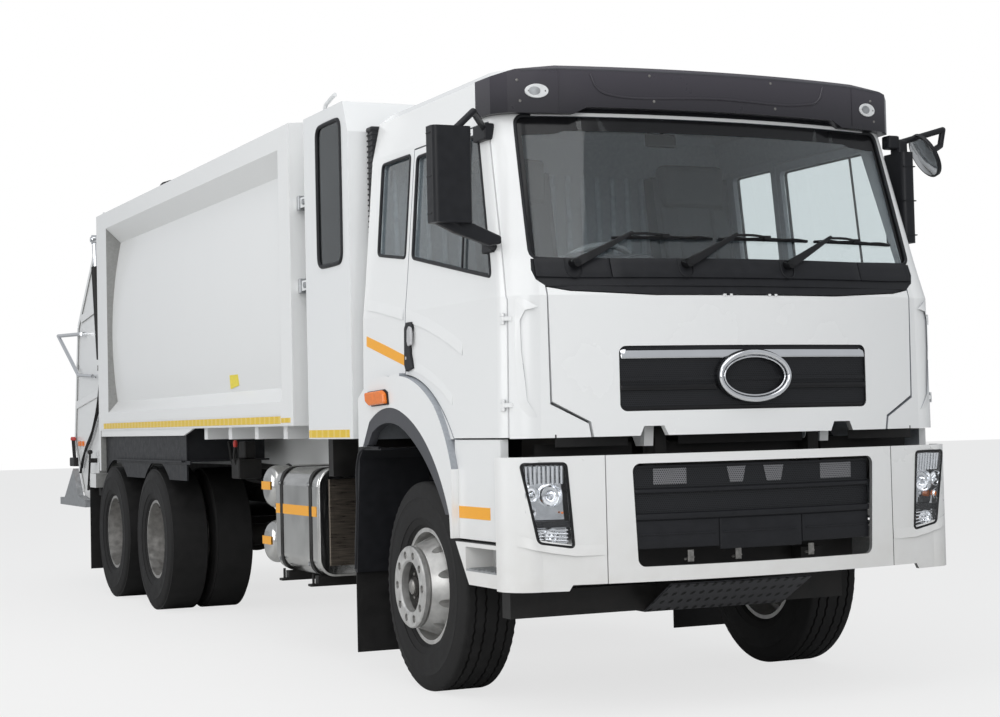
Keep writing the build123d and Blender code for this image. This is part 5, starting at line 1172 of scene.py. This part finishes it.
ready([pipe(points, radius) for radius, points in bodySet["hoses"]], "roofHoses", "rubber", "chassis")
hingePins = [knob(bodySet["hingeCap"], (side * x, 8.35, 3.36), "X", 20, side * way)
             for side in (-1, 1) for x, way in ((0.812, 1), (0.686, -1))]
ready(hingePins, "tailgateHingeCaps", "galvanised", "chassis")
ribs = [bar((-1.136, 2.118, 2.41 + step * 0.03), (-0.952, 2.196, 2.42 + step * 0.03), 0.003) for step in range(20)]
ribs += [bar((-1.14, 2.115, 3.0), (-0.95, 2.2, 3.03), 0.012),
         pipe([(-1.04, 2.19, 2.38), (-1.04, 2.2, 2.2), (-1.04, 2.185, 1.7), (-1.0, 2.14, 1.5)], 0.02, sides=4)]
ready(ribs, "intakeRibs", "blackPlastic", "cab")
print("body trim made")

tailSet = {"side": 1.14, "edge": ((8.56, 3.2), (8.7, 3.24), (9.74, 2.33), (9.93, 1.29), (9.59, 0.84)),
           "ribs": (((8.62, 1.75), (9.86, 1.62)), ((8.62, 2.5), (9.6, 2.4)), ((8.64, 1.48), (9.0, 1.18))),
           "backRibs": (-0.75, -0.25, 0.25, 0.75),
           "backRib": ((8.75, 3.233), (9.75, 2.343), (9.762, 2.357), (8.762, 3.247)),
           "ambers": ((9.58, 9.66), (9.7, 9.78)), "treads": 9, "stripes": 12, "levers": (9.95, 10.0, 10.05),
           "frames": ((0.992, 1.002), (1.072, 1.08), (1.15, 1.158), (1.228, 1.238)),
           "union": (0, (0.02, 0.005), (0.024, 0.02), (0.02, 0.035), 0.04),
           "leverKnob": (0, (0.013, 0.004), (0.015, 0.02), (0.01, 0.034), 0.036)}


def sideBeam(side, start, end, width, height):
    # a flat stiffener between two points given as station and height
    first, last = Vector(start), Vector(end)
    way = (last - first).normalized()
    across = Vector((-way.y, way.x)) * width / 2
    base = tailSet["side"] - 0.001
    return slab([first + across, first - across, last - across, last + across], "X", side * base,
                side * (base + height), 0.004)


ribParts, amberSquares = [], []
for side in (-1, 1):
    ribParts += [sideBeam(side, *ends, 0.05, 0.012) for ends in zip(tailSet["edge"], tailSet["edge"][1:])]
    ribParts += [sideBeam(side, *ends, 0.07, 0.016) for ends in tailSet["ribs"]]
    amberSquares += [sidePlate([(low, 1.245), (high, 1.245), (high, 1.29), (low, 1.29)], side, 0.018, 0.018, 0.003,
                               tailSet["side"]) for low, high in tailSet["ambers"]]
ribParts += [slab(tailSet["backRib"], "X", x - 0.04, x + 0.04, 0.003) for x in tailSet["backRibs"]]
ready(ribParts, "tailgateRibs", "tailPaint", "tailgate_body")
ready(amberSquares, "tailgateMarkers", "amberPaint", "tailgate_body")
stepParts = bothBars((1.1, 9.72, 0.762), (1.145, 10.38, 0.776), 0.003)
for index in range(tailSet["treads"]):
    station = 9.74 + index * 0.072
    stepParts.append(bar((-1.14, station, 0.762), (1.14, station + 0.022, 0.772), 0.003))
ready(stepParts, "rearStepTreads", "galvanised", "tailgate_body")
hoseParts, fittings, levers, knobs = [], [], [], []
for side in (-1, 1):
    for offset in (0.0, 0.045):
        x = side * (1.158 + offset * 0.3)
        hoseParts.append(pipe([(x, 8.62 + offset, 2.7), (x, 8.66 + offset, 2.2), (x, 8.75 + offset, 1.75),
                               (x, 9.1, 1.42 - offset), (x, 9.5, 1.18 - offset), (x, 9.62, 1.05 - offset)], 0.011))
    hoseParts.append(pipe([(side * 1.2, 9.08, 1.18), (side * 1.2, 9.11, 1.05), (side * 1.2, 9.174, 0.858)], 0.009))
    fittings.append(knob(tailSet["union"], (side * 1.2, 9.08, 1.175), "Z", 16))
    for station in tailSet["levers"]:
        x = side * 1.168
        levers.append(pipe([(x, station - 0.13, 1.12), (x, station - 0.1, 1.2), (x, station - 0.07, 1.3)], 0.006))
        knobs.append(knob(tailSet["leverKnob"], (x, station - 0.07, 1.295), "Z", 14))
for offset in (0.0, 0.045):
    fittings += bothBars((1.138, 8.74, 1.72 - offset), (1.18, 8.8, 1.76 - offset), 0.004)
fittings += bothBars((1.138, 9.06, 1.1), (1.205, 9.1, 1.14), 0.004)
fittings += bothBars((1.138, 9.14, 0.86), (1.205, 9.19, 0.9), 0.004)
levers += bothBars((1.138, 9.8, 1.06), (1.19, 10.0, 1.14), 0.008)
ready(hoseParts, "tailgateHoses", "rubber", "tailgate_body")
ready(fittings, "tailgateFittings", "frameBlack", "tailgate_body")
ready(levers, "tailgateLevers", "frameBlack", "tailgate_body")
ready(knobs, "tailgateLeverKnobs", "redPaint", "tailgate_body")
lampFrames = []
for low, high in tailSet["frames"]:
    lampFrames += bothBars((0.992, backSlope(low), low), (1.098, backSlope(low) + 0.044, high), 0.003)
foot, head = tailSet["frames"][0][0], tailSet["frames"][-1][1]
upright = ((backSlope(foot), foot), (backSlope(foot) + 0.042, foot), (backSlope(head) + 0.042, head),
           (backSlope(head), head))
lampFrames += [slab(upright, "X", side * x, side * (x + 0.01), 0.003) for side in (-1, 1) for x in (0.99, 1.09)]
ready(lampFrames, "tailLampFrames", "blackPlastic", "tailgate_body")
plate = slab([(-0.26, 1.0), (0.26, 1.0), (0.26, 1.11), (-0.26, 1.11)], "Y", 0.004, 0.012, 0.003)
ready(laid(plate, lambda co: Vector((0, backSlope(co.z), 0))), "blankPlate", "whitePlastic", "tailgate_body")
ready(pipe([(x, 9.972, 1.284) for x in (-1.1, -0.5, 0, 0.5, 1.1)], 0.016), "hopperLip", "frameBlack", "tailgate_body")
stripes = []
for index in range(tailSet["stripes"]):
    x = -1.08 + index * 0.18
    stripes.append(slab([(x, 0.71), (x + 0.09, 0.71), (x + 0.12, 0.757), (x + 0.03, 0.757)], "Y", 10.3895, 10.3925,
                        0.0005))
ready(stripes, "rearStepStripes", "yellowTape", "tailgate_body")
print("tailgate dressed")

underSet = {"hoses": ((-0.46, 0.98, 0.016), (-0.475, 0.93, 0.012), (0.46, 0.97, 0.012)), "drops": (5.4, 5.5, 5.62),
            "valveKnob": (0, (0.014, 0.004), (0.016, 0.03), (0.011, 0.05), 0.052),
            "bolt": (0, (0.014, 0), (0.014, 0.008), 0.01),
            "guardLine": ((1.88, 1.25), (2.14, 1.245), (2.21, 1.2), (2.245, 0.9), (2.285, 0.58))}
underHoses = [pipe([(x, 2.4 + step * 0.75, z + (0.012 if step % 2 else -0.012)) for step in range(9)], radius)
              for x, z, radius in underSet["hoses"]]
underHoses += [pipe([(-0.5, station, 1.05), (-0.7, station + 0.02, 0.98), (-0.9, station, 1.08),
                     (-0.95, station, 1.28)], 0.012) for station in underSet["drops"]]
ready(underHoses, "chassisHoses", "rubber", "chassis")
ready([bar((-1.03, 5.12, 1.02), (-0.86, 5.3, 1.16), 0.01), bar((-0.98, 5.14, 1.16), (-0.9, 5.28, 1.28), 0.008),
       pipe([(-1.0, 5.19, 1.08), (-1.04, 5.19, 1.16), (-1.03, 5.19, 1.25)], 0.008),
       pipe([(-0.95, 5.2, 1.12), (-0.43, 5.2, 1.05)], 0.02)], "bodyValve", "frameBlack", "chassis")
ready(knob(underSet["valveKnob"], (-1.03, 5.19, 1.24), "Z", 14), "bodyValveKnob", "redPaint", "chassis")
railBolts = [knob(underSet["bolt"], (side * 0.43, 2.6 + index * 0.7, z), "X", 6, side)
             for side in (-1, 1) for index in range(9) for z in (0.88, 1.0)]
ready(railBolts, "railBolts", "castIron", "chassis")
guardTrim = bothBars((1.2, 5.72, 1.118), (1.214, 7.91, 1.145), 0.004)
for height in (0.62, 0.74):
    guardTrim += bothBars((0.83, 2.295, height), (1.18, 2.315, height + 0.015), 0.003)
for x in (-1.215, 1.215):
    guardTrim.append(pipe([(x, *point) for point in underSet["guardLine"]], 0.008))
ready(guardTrim, "mudguardTrim", "blackPlastic", "chassis")
treads = bothBars((1.085, 0.345, 0.662), (1.222, 0.732, 0.674), 0.003)
for index in range(8):
    station = 0.36 + index * 0.048
    treads += bothBars((1.09, station, 0.673), (1.218, station + 0.014, 0.679), 0.002)
ready(treads, "cabStepTreads", "galvanised", "chassis")
print("chassis dressed")

insideSet = {"ribs": 22, "vents": (-0.95, -0.15, 0.2, 0.85), "seats": (-0.56, 0.56), "bolster": (-0.16, 0.16),
             "back": ((1.375, 1.95), (1.43, 1.95), (1.56, 2.55), (1.505, 2.55)),
             "dial": (0.012, (0.05, 0.01), (0.062, 0), (0.055, -0.02), -0.02),
             "shield": ((-1.0, -0.62), (-0.35, 0.35), (0.62, 1.0))}
lining = []
for index in range(insideSet["ribs"]):
    x = -1.02 + index * 0.097
    lining.append(pipe([(x, 2.066, 1.95), (x + 0.006, 2.062, 2.3), (x, 2.066, 2.78)], 0.016, sides=3))
ready(lining, "backWallRibs", "liningGrey", "cab")
dash = [bar((-0.82, 0.36, 2.08), (-0.34, 0.5, 2.17), 0.03), bar((-0.2, 0.47, 1.8), (0.25, 0.57, 2.02), 0.02),
        knob(insideSet["dial"], (-0.56, 0.655, 2.09), "Z", 24)]
dash += [bar((x - 0.06, 0.528, 1.93 + row * 0.022), (x + 0.06, 0.56, 1.938 + row * 0.022), 0.003)
         for x in insideSet["vents"] for row in range(4)]
ready(dash, "dashDetails", "trimGrey", "cab")
seatParts = []
for x in insideSet["seats"]:
    seatParts.append(bar((x - 0.2, 1.5, 2.55), (x + 0.2, 1.62, 2.79), 0.04, 3))
    for offset in insideSet["bolster"]:
        low, high = x + offset - 0.05, x + offset + 0.05
        seatParts += [bar((low, 0.97, 1.94), (high, 1.4, 1.99), 0.022, 3),
                      slab(insideSet["back"], "X", low, high, 0.022, 3)]
ready(seatParts, "seatBolsters", "seatCloth", "cab")
ready([bar((start, 0.18, 1.25), (end, 0.187, 1.31), 0.002) for start, end in insideSet["shield"]], "gapShield",
      "rubber", "cab")
print("cab inside dressed")
